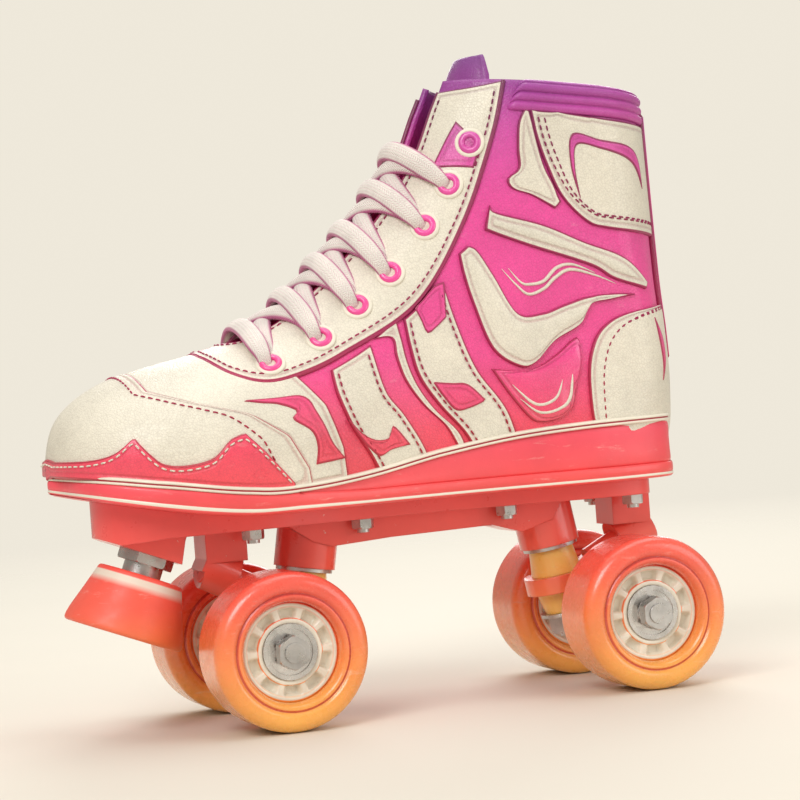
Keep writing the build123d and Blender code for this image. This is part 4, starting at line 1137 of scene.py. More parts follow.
class SKATE_OT_panels(bpy.types.Operator):
    """Makes the sewn stripes, ankle panels, heel counter and collar patch of both sides, with thin
    pink sheets of painted shade and cream cords of painted highlight
    """
    bl_idname = "skate.panels"
    bl_label = "Sewn panels"
    bl_options = {"REGISTER", "UNDO"}

    def execute(self, context):
        boot_set = settings("boot")
        t, gap = boot_set.panel, boot_set.stitch_gap
        raised = {
            "side_stripe_front": (STRIPE_A, t, 0.05, "cream_leather", "ab", 0),
            "side_stripe_rear": (STRIPE_B, t, 0.05, "cream_leather", "ab", 0),
            "side_panel": (MIDDLE_PANEL, t * 0.6, 0.03, "cream_leather", "", 0),
            "ankle_chevron": (CHEVRON, t, 0.05, "cream_leather", "", 0.8),
            "ankle_band": (ANKLE_BAND, t, 0.05, "cream_leather", "", 0.9),
            "collar_patch": (COLLAR_PATCH, t, 0.05, "cream_leather", "a", 0),
            "collar_scallop": (SCALLOP, t * 0.7, 0.03, "cream_leather", "", 0.4),
            "heel_counter": (HEEL_COUNTER, t, 0.05, "cream_leather", "a", 0.3),
            "ankle_gloss": (LOWER_PANEL, t * 0.8, 0.03, "gloss_leather", "", 1.1),
            # Painted shade: a thin pink sheet that darkens the cream vamp in a leaf shape.
            "vamp_leaf": (LEAF, 0.5, t * 0.75, "pink_leather", "", 0),
            "stripe_flame": (FLAME, 0.5, t, "pink_leather", "", 0),
            "stripe_top": (STRIPE_TOP, 0.5, t, "pink_leather", "", 0),
            "stripe_low": (STRIPE_LOW, 0.5, t, "pink_leather", "", 0),
            # Painted shade: a thin pink sheet in a hook shape on the cream collar patch.
            "collar_hook": (COLLAR_HOOK, 0.5, t, "pink_leather", "", 0),
            "heel_leaf": (HEEL_LEAF, 0.5, t + 0.25, "pink_leather", "", 0),
            "eyelet_inlay": (EYELET_INLAY, 0.4, t + 0.03, "pink_leather", "", 0),
        }
        stands_for = {"collar_patch": "collar_patch", "heel_counter": "heel_counter",
                      "side_stripe_front": "side_stripes_", "ankle_chevron": "ankle_panels_"}
        for side_name, side in SIDES:
            lines, wide = [], []
            for name, (shape, thick, bed, look, sewn, puff) in raised.items():
                if name == "heel_counter" and side == MEDIAL:
                    lines += seam(between(shape[0], None, side), bed + thick, gap, "a")
                    wide += seam(between(shape[0], None, side), bed + thick, gap + SEAM_ROWS, "a")
                    continue
                uv = between(shape[0], shape[1], side)
                if name == "heel_counter":
                    lines += seam(uv, bed + thick, gap, "a")
                    wide += seam(uv, bed + thick, gap + SEAM_ROWS, "a")
                    uv = np.concatenate([uv, between(shape[0], None, MEDIAL)[:, -2::-1]], 1)
                    sewn = ""
                swell = None
                if puff:
                    inside = edge_distance(on_boot(uv[..., 0], uv[..., 1], np.zeros(uv.shape[:2])))
                    swell = puff * np.sin(np.clip(inside / 7.0, 0, 1) * np.pi / 2) ** 2
                piece = slab(name + "_" + side_name, uv, bed, thick, 0.3, swell)
                dress(piece, look)
                if name in stands_for:
                    node = stands_for[name]
                    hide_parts(node + side_name if node.endswith("_") else node)
                if sewn:
                    lines += seam(uv, bed + thick, gap, sewn)
                if name == "collar_patch":
                    wide += seam(uv, bed + thick, gap + SEAM_ROWS, sewn)
            stitches("side_stitching_" + side_name, lines + wide)
            # Painted highlight: cream cords along the wavy lines stand for glints on the leather.
            paths = [find_on_boot(smooth_line(w, 60)) for w in HIGHLIGHT_WAVES]
            height = np.array([0.15, 0.15, 1.9, 1.9])
            cords = [on_boot(p[:, 0], side * p[:, 1], np.full(len(p), h))
                     for p, h in zip(paths, height)]
            taper = [np.sin(np.linspace(0.12, np.pi - 0.12, 60)) * 0.75 * MM] * 4
            piece = tube_piece("ankle_highlight_cord_" + side_name, cords, taper, 8)
            dress(piece, "cream_cord")
        return {"FINISHED"}


class SKATE_OT_eyestays(bpy.types.Operator):
    """Makes the two eyestays that carry the eyelets, and the trim round the throat"""
    bl_idname = "skate.eyestays"
    bl_label = "Eyestays"
    bl_options = {"REGISTER", "UNDO"}

    def execute(self, context):
        """Columns run from the throat's edge down to the eyestay's lower line; rows run from
        the front of the throat, round its end, up to the collar."""
        boot_set = settings("boot")
        low = find_on_boot(smooth_line(EYESTAY_LOW, 200))
        front = np.stack([np.full(24, low[0, 0]), np.linspace(0.0, low[0, 1], 24)], -1)
        lower = np.concatenate([front[:-1], low])
        run = np.r_[0, np.cumsum(np.linalg.norm(np.diff(boot(*lower.T), axis=0), axis=1))]
        u_throat = np.linspace(0, 1, 300) ** 1.8 * (LAST_U - 1.2 - 7.51) + 7.51
        throat = np.stack([u_throat, np.abs(throat_v(u_throat, 0.6))], -1)
        throat = throat[throat[:, 0] < np.interp(throat[:, 1], W_TABLE, collar_u(W_TABLE, 0.5,
                                                                           COLLAR_FROM_U))]
        over = np.r_[0, np.cumsum(np.linalg.norm(np.diff(boot(*throat.T), axis=0), axis=1))]
        s = spaced(run[-1])
        below = np.stack([np.interp(s * run[-1], run, lower[:, k]) for k in (0, 1)], -1)
        above = np.stack([np.interp(s * over[-1], over, throat[:, k]) for k in (0, 1)], -1)
        t = spaced(24.0)
        for side_name, side in SIDES:
            uv = above[:, None] + (below - above)[:, None] * t[None, :, None]
            uv[..., 1] *= side
            bed = 0.08
            piece = slab("eyestay_leather_" + side_name, uv, bed, boot_set.panel, 0.3)
            outward(piece)
            dress(piece, "cream_leather")
            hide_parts("eyestay_" + side_name)
            lines = seam(uv, bed + boot_set.panel, boot_set.stitch_gap, "ab")
            stitches("eyestay_stitching_" + side_name, lines)
            lip = uv[:, 0]
            cord = on_boot(lip[:, 0], lip[:, 1], np.full(len(lip), 0.4))
            piece = tube_piece("throat_piping_" + side_name, [cord], 1.1 * MM, 10)
            dress(piece, "raspberry_cord")
            outline = uv[:, -1]
            cord = on_boot(outline[:, 0], outline[:, 1], np.full(len(outline), 0.35))
            piece = tube_piece("eyestay_piping_" + side_name, [cord], 0.95 * MM, 10)
            dress(piece, "raspberry_cord")
        return {"FINISHED"}


class SKATE_OT_collar(bpy.types.Operator):
    """Makes the backstay, the padded collar, the lining and the tongue"""
    bl_idname = "skate.collar"
    bl_label = "Collar, lining and tongue"
    bl_options = {"REGISTER", "UNDO"}

    def execute(self, context):
        self.backstay()
        self.collar_roll()
        self.lining()
        self.tongue()
        return {"FINISHED"}

    def backstay(self):
        """A strip over the back line: columns run across it, rows up the heel."""
        panel = settings("boot").panel
        half = np.linspace(-1, 1, 27)
        rows = np.linspace(16.55, 19.35, 90)
        share = 1 - np.abs(half) * 0.072
        v = np.where(half < 0, -1.0, 1.0) * share
        u, v = np.meshgrid(rows, v, indexing="ij")
        order = np.argsort(np.where(v[0] < 0, -(1 + v[0]), 1 - v[0]))
        piece = slab("backstay_leather", np.stack([u, v], -1)[:, order], 1.25, panel, 1.4)
        outward(piece)
        dress(piece, "pink_leather")
        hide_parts("backstay")

    def collar_roll(self):
        """A closed profile of (drop under the collar's edge, height over the boot) is carried
        round the ankle: quilted in three rounds outside, rolled over the edge, padded inside."""
        puff = settings("boot").collar_puff
        drop = np.linspace(12.5, 1.0, 40)
        quilt = np.abs(np.sin((drop - 1.0) / 3.85 * np.pi)) ** 0.55
        outside = np.stack([drop, 0.5 + puff * 0.72 * quilt], -1)
        angle = np.linspace(0, np.pi, 16)[1:-1]
        over = np.stack([1.0 - 1.6 * np.sin(angle), -2.4 + 3.4 * np.cos(angle)], -1)
        drop_in = np.linspace(1.0, 26.0, 40)
        swell = np.sin(np.clip((drop_in + 3) / 29, 0, 1) * np.pi) ** 0.6
        inside = np.stack([drop_in, -5.4 - 2.6 * swell], -1)
        back = np.stack([np.linspace(26.0, 12.9, 12), np.full(12, -2.7)], -1)
        under = np.array([(12.8, -1.5), (12.7, -0.4)])
        profile = np.concatenate([outside, over, inside, back, under])
        w = np.linspace(0.335, 1.0, 130)
        v = np.r_[-w, w[-2::-1]]
        d, vv = np.meshgrid(profile[:, 0], v)
        h = np.broadcast_to(profile[:, 1], d.shape).copy()
        ends = np.clip(np.r_[np.arange(130), np.arange(128, -1, -1)] / 5.0, 0, 1)
        ease = np.sqrt(1 - (1 - ends) ** 2)[:, None]
        centre_d, centre_h = 12.0, -2.4
        d = centre_d + (d - centre_d) * ease
        h = centre_h + (h - centre_h) * ease
        u = collar_u(vv, d)
        p = on_boot(u, vv, h)
        rows, columns = d.shape
        faces = grid_faces(rows, columns, wrap_columns=True)
        piece = put_mesh("collar_padding", p.reshape(-1, 3), faces, BODY)
        outward(piece, weld=True)
        dress(piece, "soft_leather")
        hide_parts("collar_band")

    def lining(self):
        """The quarters' form a little inside them, from the footbed to the collar's padding,
        quilted by a slow wave, as a closed sheet."""
        w = np.linspace(0.36, 1.0, 110)
        v = np.r_[-w, w[-2::-1]]
        t = np.linspace(0, 1, 70)
        top = collar_u(v, 22.0)
        low = np.interp(np.abs(v), W_TABLE, LINING_LOW)
        u = low[:, None] + (top - low)[:, None] * t[None]
        vv = np.broadcast_to(v[:, None], u.shape)
        wave = 0.25 * np.sin(u * 7.0) * np.sin(vv * 40.0)
        edge = np.minimum(edge_distance(on_boot(u, vv, np.zeros(u.shape))), 4.0)
        inside = on_boot(u, vv, -5.0 + wave - 0.6 * np.sqrt(edge / 4.0))
        outside = on_boot(u, vv, np.full(u.shape, -2.75))
        verts = np.concatenate([inside.reshape(-1, 3), outside.reshape(-1, 3)])
        piece = put_mesh("boot_lining", verts, slab_faces(*u.shape), BODY)
        outward(piece)
        dress(piece, "lining_cloth")
        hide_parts("lining")

    def tongue(self):
        """A long pad under the throat: its height is the tongue's depth plus a crown across
        and low quilting waves along, and a bound edge all round."""
        crown = settings("boot").tongue_crown
        u = np.r_[8.2, 8.23, 8.3, np.linspace(8.5, LAST_U - 0.35, 110), LAST_U - 0.2,
                  LAST_U - 0.12, LAST_U - 0.08]
        across = np.r_[-1, -0.985, -0.95, np.linspace(-0.9, 0.9, 41), 0.95, 0.985, 1]
        half_mm = np.interp(u, [8.2, 9.5, 14, 18.5, 19.4, LAST_U], [17, 21, 22, 22, 20, 14])
        width = catmull(STATIONS, u)[:, 5] - 8.0
        share = np.clip(half_mm / width, 0, 0.97)
        v = np.arcsin(share)[:, None] / (np.pi / 2) * FRONT_SHARE * across[None]
        uu = np.broadcast_to(u[:, None], v.shape)
        rise = 1 - across[None] ** 4
        row_end = np.minimum(u - u[0], u[-1] - u) * 12.0
        rise = rise * np.clip(row_end, 0, 1)[:, None] ** 0.5
        quilt = 0.22 * np.sin(uu * 12.0) * np.clip((uu - 14) / 3, 0, 1)
        binding = 0.55 * np.exp(-((np.abs(across[None]) - 0.93) / 0.035) ** 2)
        top = on_boot(uu, v, crown * rise + quilt * rise + binding - TONGUE_DEPTH)
        low = on_boot(uu, v, -TONGUE_DEPTH - 1.3 * rise)
        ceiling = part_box("tongue")[1][2] - TONGUE_EASE
        for p in (top, low):
            over = np.maximum(p[..., 2] - ceiling, 0.0) / TONGUE_EASE
            p[..., 2] = np.where(over > 0, ceiling + TONGUE_EASE * np.tanh(over), p[..., 2])
        verts = np.concatenate([top.reshape(-1, 3), low.reshape(-1, 3)])
        piece = put_mesh("tongue_padding", verts, slab_faces(*v.shape), BODY)
        outward(piece)
        dress(piece, "soft_leather")
        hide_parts("tongue")


def footbed_u(w):
    """The u where a boot line at v = w rises past the footbed's upper face."""
    def under(u):
        p = boot(u, w)
        return (p[..., 2] < feather(p[..., 0]) + 8.0) | (p[..., 0] < -2.0)
    return solve(under, np.full(np.shape(w), 9.0), np.full(np.shape(w), 18.0))


LINING_LOW = footbed_u(W_TABLE)


# Places of the eyelets on the boot, and how many of them the lace passes through
EYELET_U = (8.2, 9.45, 10.5, 11.55, 13.05, 14.75, 17.1)
EYELET_W = (0.205, 0.225, 0.235, 0.25, 0.26, 0.27, 0.285)
LACED = 6


class SKATE_OT_lace(bpy.types.Operator):
    """Makes the lace, its crossings and the fourteen eyelets"""
    bl_idname = "skate.lace"
    bl_label = "Lace and eyelets"
    bl_options = {"REGISTER", "UNDO"}

    def execute(self, context):
        lace_set = settings("lace")
        bed = settings("boot").panel + 0.1
        u, w = np.array(EYELET_U), np.array(EYELET_W)
        self.eyelets(u, w, bed)
        paths, ups = [], []
        for k in range(LACED):
            share = np.linspace(-1, 1, 90)
            reach = np.abs(share)
            v = w[k] * share
            rise = bed + 1.7 + 2.3 * (1 - reach ** 2) ** 0.8
            dip = 4.6 * np.clip((reach - 0.86) / 0.14, 0, 1) ** 2
            lean = 0.10 * np.sin(share * np.pi * 0.5)
            path = on_boot(u[k] + lean, v, rise - dip)
            paths.append(path)
            ups.append(boot_normal(np.full(90, u[k]), v))
        for k in range(LACED - 1):
            for side, lift in ((1.0, 0.0), (-1.0, 1.5)):
                share = np.linspace(0, 1, 70)
                v = side * (-w[k] + (w[k] + w[k + 1]) * share)
                along = u[k] + (u[k + 1] - u[k]) * (0.5 - 0.5 * np.cos(share * np.pi))
                ends = np.sin(share * np.pi) ** 0.5
                height = bed + (0.3 + lift) * ends - 5.0 * (1 - ends) ** 1.5
                paths.append(on_boot(along, v, height))
                ups.append(boot_normal(along, v))
        thick = []
        for path in paths:
            run = np.linspace(0, 1, len(path))
            pinch = 1 - 0.38 * (np.exp(-(run / 0.09) ** 2) + np.exp(-((1 - run) / 0.09) ** 2))
            thick.append(lace_set.half_width * MM * pinch)
        flat = lace_set.half_thick / lace_set.half_width
        piece = tube_piece("lace_cotton", paths, thick, 20, flat, ups)
        dress(piece, "lace_weave")
        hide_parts("lace")
        return {"FINISHED"}

    def eyelets(self, u, w, bed):
        """Each eyelet is a closed profile of (radius, height) turned about the boot's outward
        direction: place plus radius times cosine and sine of two directions in the leather."""
        lace_set = settings("lace")
        uu = np.r_[u, u]
        vv = np.r_[w * LATERAL, w * MEDIAL]
        centre = on_boot(uu, vv, np.full(len(uu), bed))
        n = boot_normal(uu, vv)
        a = np.cross(n, [0.0, 0.0, 1.0])
        a /= np.linalg.norm(a, axis=1, keepdims=True)
        b = np.cross(n, a)
        big, wide = lace_set.eyelet, lace_set.washer
        shapes = {
            "eyelet_rings": ([(2.0, 0.6), (2.4, 1.2), (3.1, 1.5), (3.9, 1.3), (big, 0.7),
                              (big, 0.1), (2.6, 0.1), (2.6, -4.0), (2.0, -4.0)], "eyelet_paint"),
            "eyelet_washers": ([(big - 0.5, 0.1), (big - 0.2, 0.5), (big + 0.4, 0.72),
                                (wide - 0.5, 0.6), (wide, 0.2), (wide, -0.5),
                                (big - 0.5, -0.5)], "cream_rubber"),
        }
        for name, (profile, look) in shapes.items():
            profile = rounded(np.array(profile), 0.25, 3)
            angle = np.linspace(0, 2 * np.pi, 40, endpoint=False)
            turn = (a[:, None] * np.cos(angle)[None, :, None]
                    + b[:, None] * np.sin(angle)[None, :, None])
            p = (centre[:, None, None]
                 + turn[:, :, None] * profile[None, None, :, :1] * MM
                 + n[:, None, None] * profile[None, None, :, 1:] * MM)
            one = grid_faces(40, len(profile), 0, True, True)
            count = 40 * len(profile)
            faces = (one[None] + (np.arange(len(uu)) * count)[:, None, None]).reshape(-1, 4)
            piece = put_mesh(name, p.reshape(-1, 3), faces, BODY)
            outward(piece)
            dress(piece, look)
            if name == "eyelet_rings":
                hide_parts("eyelets")


# ---- Operators: the sole ----
TOE_SPRING = 12.7
SPRING_FROM = -59.0
SPRING_LENGTH = 71.5
NOSE_AHEAD = 2.2                # how far the sole's nose stands before its first width
WELT_HEIGHT = 3.0
WEDGE_START = -43.5
SOLE_OUTLINE = [(-128.3, 8), (-123.5, 27), (-111, 40), (-89, 47), (-62, 48), (-30, 43.5),
                (3, 38), (45, 35), (90, 35.5), (115, 31), (125.5, 21), (130.5, 0)]


def sole_line(grow, count=260):
    """The sole's outline from above, larger by grow: a closed smooth line through the widths
    on both sides, spaced evenly."""
    outer = [(x, toe_turn(x) - y - grow) for x, y in SOLE_OUTLINE[:-1]]
    inner = [(x, toe_turn(x) + y + grow) for x, y in reversed(SOLE_OUTLINE[:-1])]
    heel = [(SOLE_OUTLINE[-1][0] + grow, 0.0)]
    nose = [(SOLE_OUTLINE[0][0] - NOSE_AHEAD - grow, toe_turn(-140.0))]
    ring = np.array(nose + outer + heel + inner)
    many = np.concatenate([ring[-3:], ring, ring[:4]])
    dense = catmull(many, np.linspace(3, 3 + len(ring), 40 * len(ring), endpoint=False))
    run = np.r_[0, np.cumsum(np.linalg.norm(np.diff(np.r_[dense, dense[:1]], axis=0), axis=1))]
    at = np.linspace(0, run[-1], count, endpoint=False)
    closed = np.r_[dense, dense[:1]]
    return np.stack([np.interp(at, run, closed[:, k]) for k in (0, 1)], -1)


def sole_bottom(x):
    """Height of the sole's underside: flat, then a spring of the power 1.5 at the toe."""
    ahead = np.clip(SPRING_FROM - x, 0, None) / SPRING_LENGTH
    return SOLE_Z + TOE_SPRING * ahead ** 1.5


def outsole_top(x):
    """Height of the outsole's upper face: under the welt in front, level under the wedge."""
    level = np.interp(x, [-45.0, -15.0, 150.0], [91.9, 90.4, 90.3])
    return np.where(x < -45.0, feather(x) - WELT_HEIGHT, level)


INWARD = (0.0, 0.35, 0.7, 0.94)     # shares of the way out where a layer's faces have a ring


def sole_layer(name, line, low, high, wall):
    """A closed layer of the sole.  Its wall is a profile of (share of the height, offset
    outwards, line mark) carried round the outline; above and below it closes over the middle
    line of the foot."""
    ahead = np.roll(line, -1, 0) - np.roll(line, 1, 0)
    ahead /= np.linalg.norm(ahead, axis=1, keepdims=True)
    out = np.stack([ahead[:, 1], -ahead[:, 0]], -1)
    middle_y = toe_turn(line[:, 0])
    rings, marks = [], []
    for inward in INWARD:
        y = middle_y + (line[:, 1] - middle_y) * inward
        rings.append(np.stack([line[:, 0], y, low(line[:, 0])], -1))
        marks.append(np.zeros(len(line)))
    for share, offset, mark in wall:
        p = line + out * offset
        z = low(line[:, 0]) * (1 - share) + high(line[:, 0]) * share
        rings.append(np.stack([p[:, 0], p[:, 1], z], -1))
        marks.append(np.full(len(line), mark))
    for inward in INWARD[::-1]:
        y = middle_y + (line[:, 1] - middle_y) * inward
        rings.append(np.stack([line[:, 0], y, high(line[:, 0])], -1))
        marks.append(np.zeros(len(line)))
    p = in_frame(np.stack(rings, 1))
    faces = grid_faces(len(line), len(rings), wrap_rows=True)
    piece = put_mesh(name, p.reshape(-1, 3), faces, BODY,
                     line=np.stack(marks, 1).ravel())
    outward(piece, weld=True)
    return piece


class SKATE_OT_sole(bpy.types.Operator):
    """Makes the outsole, the heel wedge, the welt and the footbed"""
    bl_idname = "skate.sole"
    bl_label = "Sole"
    bl_options = {"REGISTER", "UNDO"}

    def execute(self, context):
        welt = [(0.0, -0.9, 0), (0.02, -0.2, 0), (0.10, 0.25, 0), (0.22, 0.38, 0),
                (0.34, 0.2, 0), (0.40, -0.15, 1), (0.47, -0.35, 1), (0.54, -0.15, 1),
                (0.60, 0.2, 0), (0.70, 0.38, 0), (0.82, 0.25, 0), (0.95, -0.3, 0),
                (1.0, -1.1, 0)]
        piece = sole_layer("welt_strip", sole_line(1.0), lambda x: feather(x) - WELT_HEIGHT,
                           feather, welt)
        dress(piece, "striped_rubber")
        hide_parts("welt")
        # The rows marked 1, at 0.22 to 0.30 of the height, are a slight ridge painted cream as a
        # highlight along the outsole's side.
        outsole = [(0.0, -1.2, 0), (0.03, -0.5, 0), (0.10, 0.0, 0), (0.22, 0.1, 1),
                   (0.30, 0.1, 1), (0.34, -0.25, 0), (0.40, 0.05, 0), (0.6, 0.1, 0),
                   (0.85, 0.05, 0), (0.96, -0.25, 0), (1.0, -0.9, 0)]
        piece = sole_layer("outsole_rubber", sole_line(1.2), sole_bottom, outsole_top, outsole)
        dress(piece, "striped_coral")
        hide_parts("outsole")
        line = sole_line(0.0)
        line[:, 0] = np.maximum(line[:, 0], WEDGE_START)
        wedge = [(0.0, -0.6, 0), (0.04, -0.15, 0), (0.10, 0.0, 0), (0.3, -0.15, 0),
                 (0.6, -0.25, 0), (0.85, -0.1, 0), (0.95, -0.15, 0), (1.0, -0.6, 0)]
        piece = sole_layer("heel_wedge_rubber", line, lambda x: outsole_top(x) - 0.2,
                           lambda x: feather(x) - 2.9, wedge)
        dress(piece, "sole_rubber")
        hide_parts("heel_wedge")
        self.footbed()
        return {"FINISHED"}

    def footbed(self):
        """A pad over the insole board: its top is the feather line plus the pad's height, a
        raised rim towards its edge and a low arch on the inner side."""
        line = sole_line(-9.5, 220)
        middle_y = toe_turn(line[:, 0])
        inward = np.array([0.0, 0.25, 0.5, 0.7, 0.85, 0.94, 0.985, 1.0])
        y = middle_y[:, None] + (line[:, 1] - middle_y)[:, None] * inward[None]
        x = np.broadcast_to(line[:, :1], y.shape)
        arch = np.clip(y / 30, 0, 1) * np.exp(-((x + 5) / 35) ** 2)
        top = feather(x) + 6.6 + 1.1 * inward[None] ** 4 * (inward[None] < 0.99) + 1.2 * arch
        low = feather(x) + 3.1
        p = np.concatenate([np.stack([x, y, top], -1), np.stack([x, y, low], -1)[:, ::-1]], 1)
        p = in_frame(p)
        faces = grid_faces(p.shape[0], p.shape[1], wrap_rows=True)
        piece = put_mesh("footbed_pad", p.reshape(-1, 3), faces, BODY)
        outward(piece, weld=True)
        dress(piece, "footbed_cloth")
        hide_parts("footbed")


# ---- Operators: wheels, toe stop and metal ----
TYRE_BORE = 19.52
BEARING_SEAT = 11.05
SEAT_LIP = 8.55                 # radius of the wall that keeps the two bearings apart


def turned_piece(name, profile, segments, centre, body, line):
    """A closed profile of (radius, place) in millimetres turned about the axle's line, with
    the mark 'line' given for each of its points."""
    profile = np.asarray(profile, float)
    p = lathe(profile * MM, segments, centre)
    faces = grid_faces(segments, len(profile), 0, True, True)
    marks = np.broadcast_to(line, (segments, len(profile)))
    piece = put_mesh(name, p.reshape(-1, 3), faces, body, line=marks)
    outward(piece)
    return piece


class SKATE_OT_wheels(bpy.types.Operator):
    """Makes the four tyres and their spoked hubs"""
    bl_idname = "skate.wheels"
    bl_label = "Wheels"
    bl_options = {"REGISTER", "UNDO"}

    def execute(self, context):
        for wheel in WHEELS:
            self.tyre(wheel)
            self.hub(wheel)
        return {"FINISHED"}

    def tyre(self, wheel):
        """The tyre's profile: a level tread, round shoulders, and side faces with a lip, a
        groove and a shallow dish down to the hub."""
        shoulder = settings("wheels").shoulder
        low, high = (Vector(c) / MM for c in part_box("tyre_" + wheel))
        radius, half = (high.z - low.z) / 2, (high.y - low.y) / 2
        angle = np.linspace(0, np.pi / 2, 12)
        side = [(TYRE_BORE, half - 3.4), (20.2, half - 1.9), (21.0, half - 0.9), (21.8, half - 0.5),
                (22.5, half - 0.9), (22.9, half - 1.5), (23.4, half - 1.0), (24.0, half - 0.3),
                (25.0, half)]
        curve = np.stack([radius - shoulder + shoulder * np.sin(angle),
                          half - shoulder + shoulder * np.cos(angle)], -1)
        tread = [(radius, y) for y in np.linspace(half - shoulder, shoulder - half, 10)[1:-1]]
        up = np.concatenate([np.array(side), curve])
        down = up[::-1] * np.array([1, -1])
        bore = [(TYRE_BORE, y) for y in np.linspace(-half + 3.4, half - 3.4, 8)[1:-1]]
        profile = np.concatenate([up, np.array(tread), down, np.array(bore)])
        groove = np.exp(-((profile[:, 0] - 22.7) / 0.45) ** 2)
        piece = turned_piece("tyre_urethane_" + wheel, profile, 128, middle("tyre_" + wheel),
                             "wheel_" + wheel, groove)
        dress(piece, "wheel_urethane")
        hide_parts("tyre_" + wheel)

    def hub(self, wheel):
        """The hub's faces are level at the rim and at the bearing seat; between them lies a
        pocket whose depth is a power of the sine of the angle, which leaves the spokes."""
        wheels = settings("wheels")
        low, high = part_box("hub_" + wheel)
        half = (high[1] - low[1]) / MM / 2
        r = np.r_[BEARING_SEAT, 11.3, 12.0, 12.7, 13.0, 13.3, 13.7, 14.2, 14.9, 15.6, 16.2, 16.6, 16.9,
                  17.2, 17.6, 18.4, 19.0, 19.3, 19.48]
        angle = np.linspace(0, 2 * np.pi, 180, endpoint=False)
        pocket = np.clip((r - 12.8) / 0.9, 0, 1) * np.clip((17.3 - r) / 0.9, 0, 1)
        spoke = np.clip(np.abs(np.sin(angle * wheels.spokes / 2)) * 2.6 - 0.9, 0, 1)
        smooth = spoke * spoke * (3 - 2 * spoke)
        lip = 0.35 * np.clip((11.4 - r) / 0.35, 0, 1) + 0.35 * np.clip((r - 19.1) / 0.35, 0, 1)
        ring = 0.5 * np.exp(-((r - 12.4) / 0.35) ** 2) + 0.6 * np.exp(-((r - 18.3) / 0.4) ** 2)
        face = half - 0.6 - wheels.spoke_depth * pocket[None] * smooth[:, None] - lip + ring
        top = np.stack([np.broadcast_to(r, face.shape), face], -1)
        low_side = top[:, ::-1] * np.array([1, -1])
        depth = half - 7.05
        seat = np.broadcast_to([(BEARING_SEAT, -depth), (SEAT_LIP, -depth), (SEAT_LIP, depth),
                                (BEARING_SEAT, depth)], (180, 4, 2))
        rz = np.concatenate([top, low_side, seat], 1)
        p = np.stack([rz[..., 0] * np.cos(angle)[:, None], rz[..., 1],
                      rz[..., 0] * np.sin(angle)[:, None]], -1) * MM + np.array(middle("hub_" + wheel))
        faces = grid_faces(p.shape[0], p.shape[1], 0, True, True)
        rim = rz[..., 0]
        rings = (np.exp(-((rim - 19.2) / 0.35) ** 2) + np.exp(-((rim - 17.4) / 0.22) ** 2)
                 + np.exp(-((rim - 13.0) / 0.22) ** 2))
        piece = put_mesh("hub_nylon_" + wheel, p.reshape(-1, 3), faces, "wheel_" + wheel,
                         line=np.clip(rings, 0, 1))
        outward(piece)
        dress(piece, "hub_nylon")
        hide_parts("hub_" + wheel)


STOP_LEAN = math.radians(22.0)
STOP_TOP = (-98.5, 62.5)        # x and z of the pad's upper face, in the boot's millimetres


class SKATE_OT_toe_stop(bpy.types.Operator):
    """Makes the toe stop's rubber pad"""
    bl_idname = "skate.toe_stop"
    bl_label = "Toe stop"
    bl_options = {"REGISTER", "UNDO"}

    def execute(self, context):
        """A frustum with rounded rims and grooves, turned about the stem's leaning line."""
        axis = np.array([-math.sin(STOP_LEAN), 0.0, -math.cos(STOP_LEAN)])
        across = np.array([math.cos(STOP_LEAN), 0.0, -math.sin(STOP_LEAN)])
        top = np.array([STOP_TOP[0] + BOOT_SHIFT, 0.0, STOP_TOP[1]])
        outline = np.array([(7.95, 0.0), (17.0, 0.0), (17.8, 2.6), (20.2, 10.0), (23.6, 20.0),
                            (24.5, 25.0),
                            (19.0, 25.0), (18.4, 23.9), (17.8, 25.0), (12.0, 25.0),
                            (11.4, 23.9), (10.8, 25.0), (5.0, 25.0), (4.4, 23.9), (3.8, 25.0),
                            (0.01, 25.0), (0.01, 16.02), (7.95, 16.02)])
        cut = np.full(len(outline), 0.3)
        cut[[1, 5]] = settings("wheels").stop_round
        cut[4], cut[-3:-1] = 3.0, 0.001
        profile = rounded(outline, cut, 6)
        angle = np.linspace(0, 2 * np.pi, 144, endpoint=False)
        ring = np.cos(angle)[:, None] * across + np.sin(angle)[:, None] * np.array([0, 1.0, 0])
        p = (top + ring[:, None] * profile[None, :, :1] + axis * profile[None, :, 1:]) * MM
        faces = grid_faces(144, len(profile), 0, True, True)
        side = (profile[:, 0] > 17.5) & (profile[:, 1] < 23.0)
        rim = np.where(side, np.exp(-((profile[:, 1] - 2.6) / 0.6) ** 2), 0.0)
        piece = put_mesh("toe_stop_rubber", p.reshape(-1, 3), faces, "toe_stop",
                         line=np.broadcast_to(rim, (144, len(profile))))
        outward(piece, weld=True)
        dress(piece, "stop_rubber")
        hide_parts("toe_stop_pad")
        return {"FINISHED"}


class SKATE_OT_metal(bpy.types.Operator):
    """Finishes the plate, the trucks and the fittings, which keep the frame's own shapes"""
    bl_idname = "skate.metal"
    bl_label = "Plate and trucks"
    bl_options = {"REGISTER", "UNDO"}

    def execute(self, context):
        dress_nodes("casting_paint", "plate", "hanger_front", "hanger_rear")
        dress_nodes("cushion_urethane", "cushions_front", "cushions_rear")
        dress_nodes("stop_rubber", "pivot_cup_front", "pivot_cup_rear")
        dress_nodes("board_fibre", "insole_board")
        steel = ["mounting_bolts", "mounting_nuts", "toe_stop_nut", "toe_stop_stem"]
        steel += [part + end for end in ("front", "rear")
                  for part in ("axle_", "axle_nuts_", "kingpin_", "kingpin_nut_",
                               "cushion_washers_")]
        dress_nodes("plated_steel", *steel)
        bearings = ["bearings_" + wheel for wheel in WHEELS]
        dress_nodes("bearing_steel", "bearing_inner_rings_front", "bearing_inner_rings_rear",
                    *bearings)
        return {"FINISHED"}


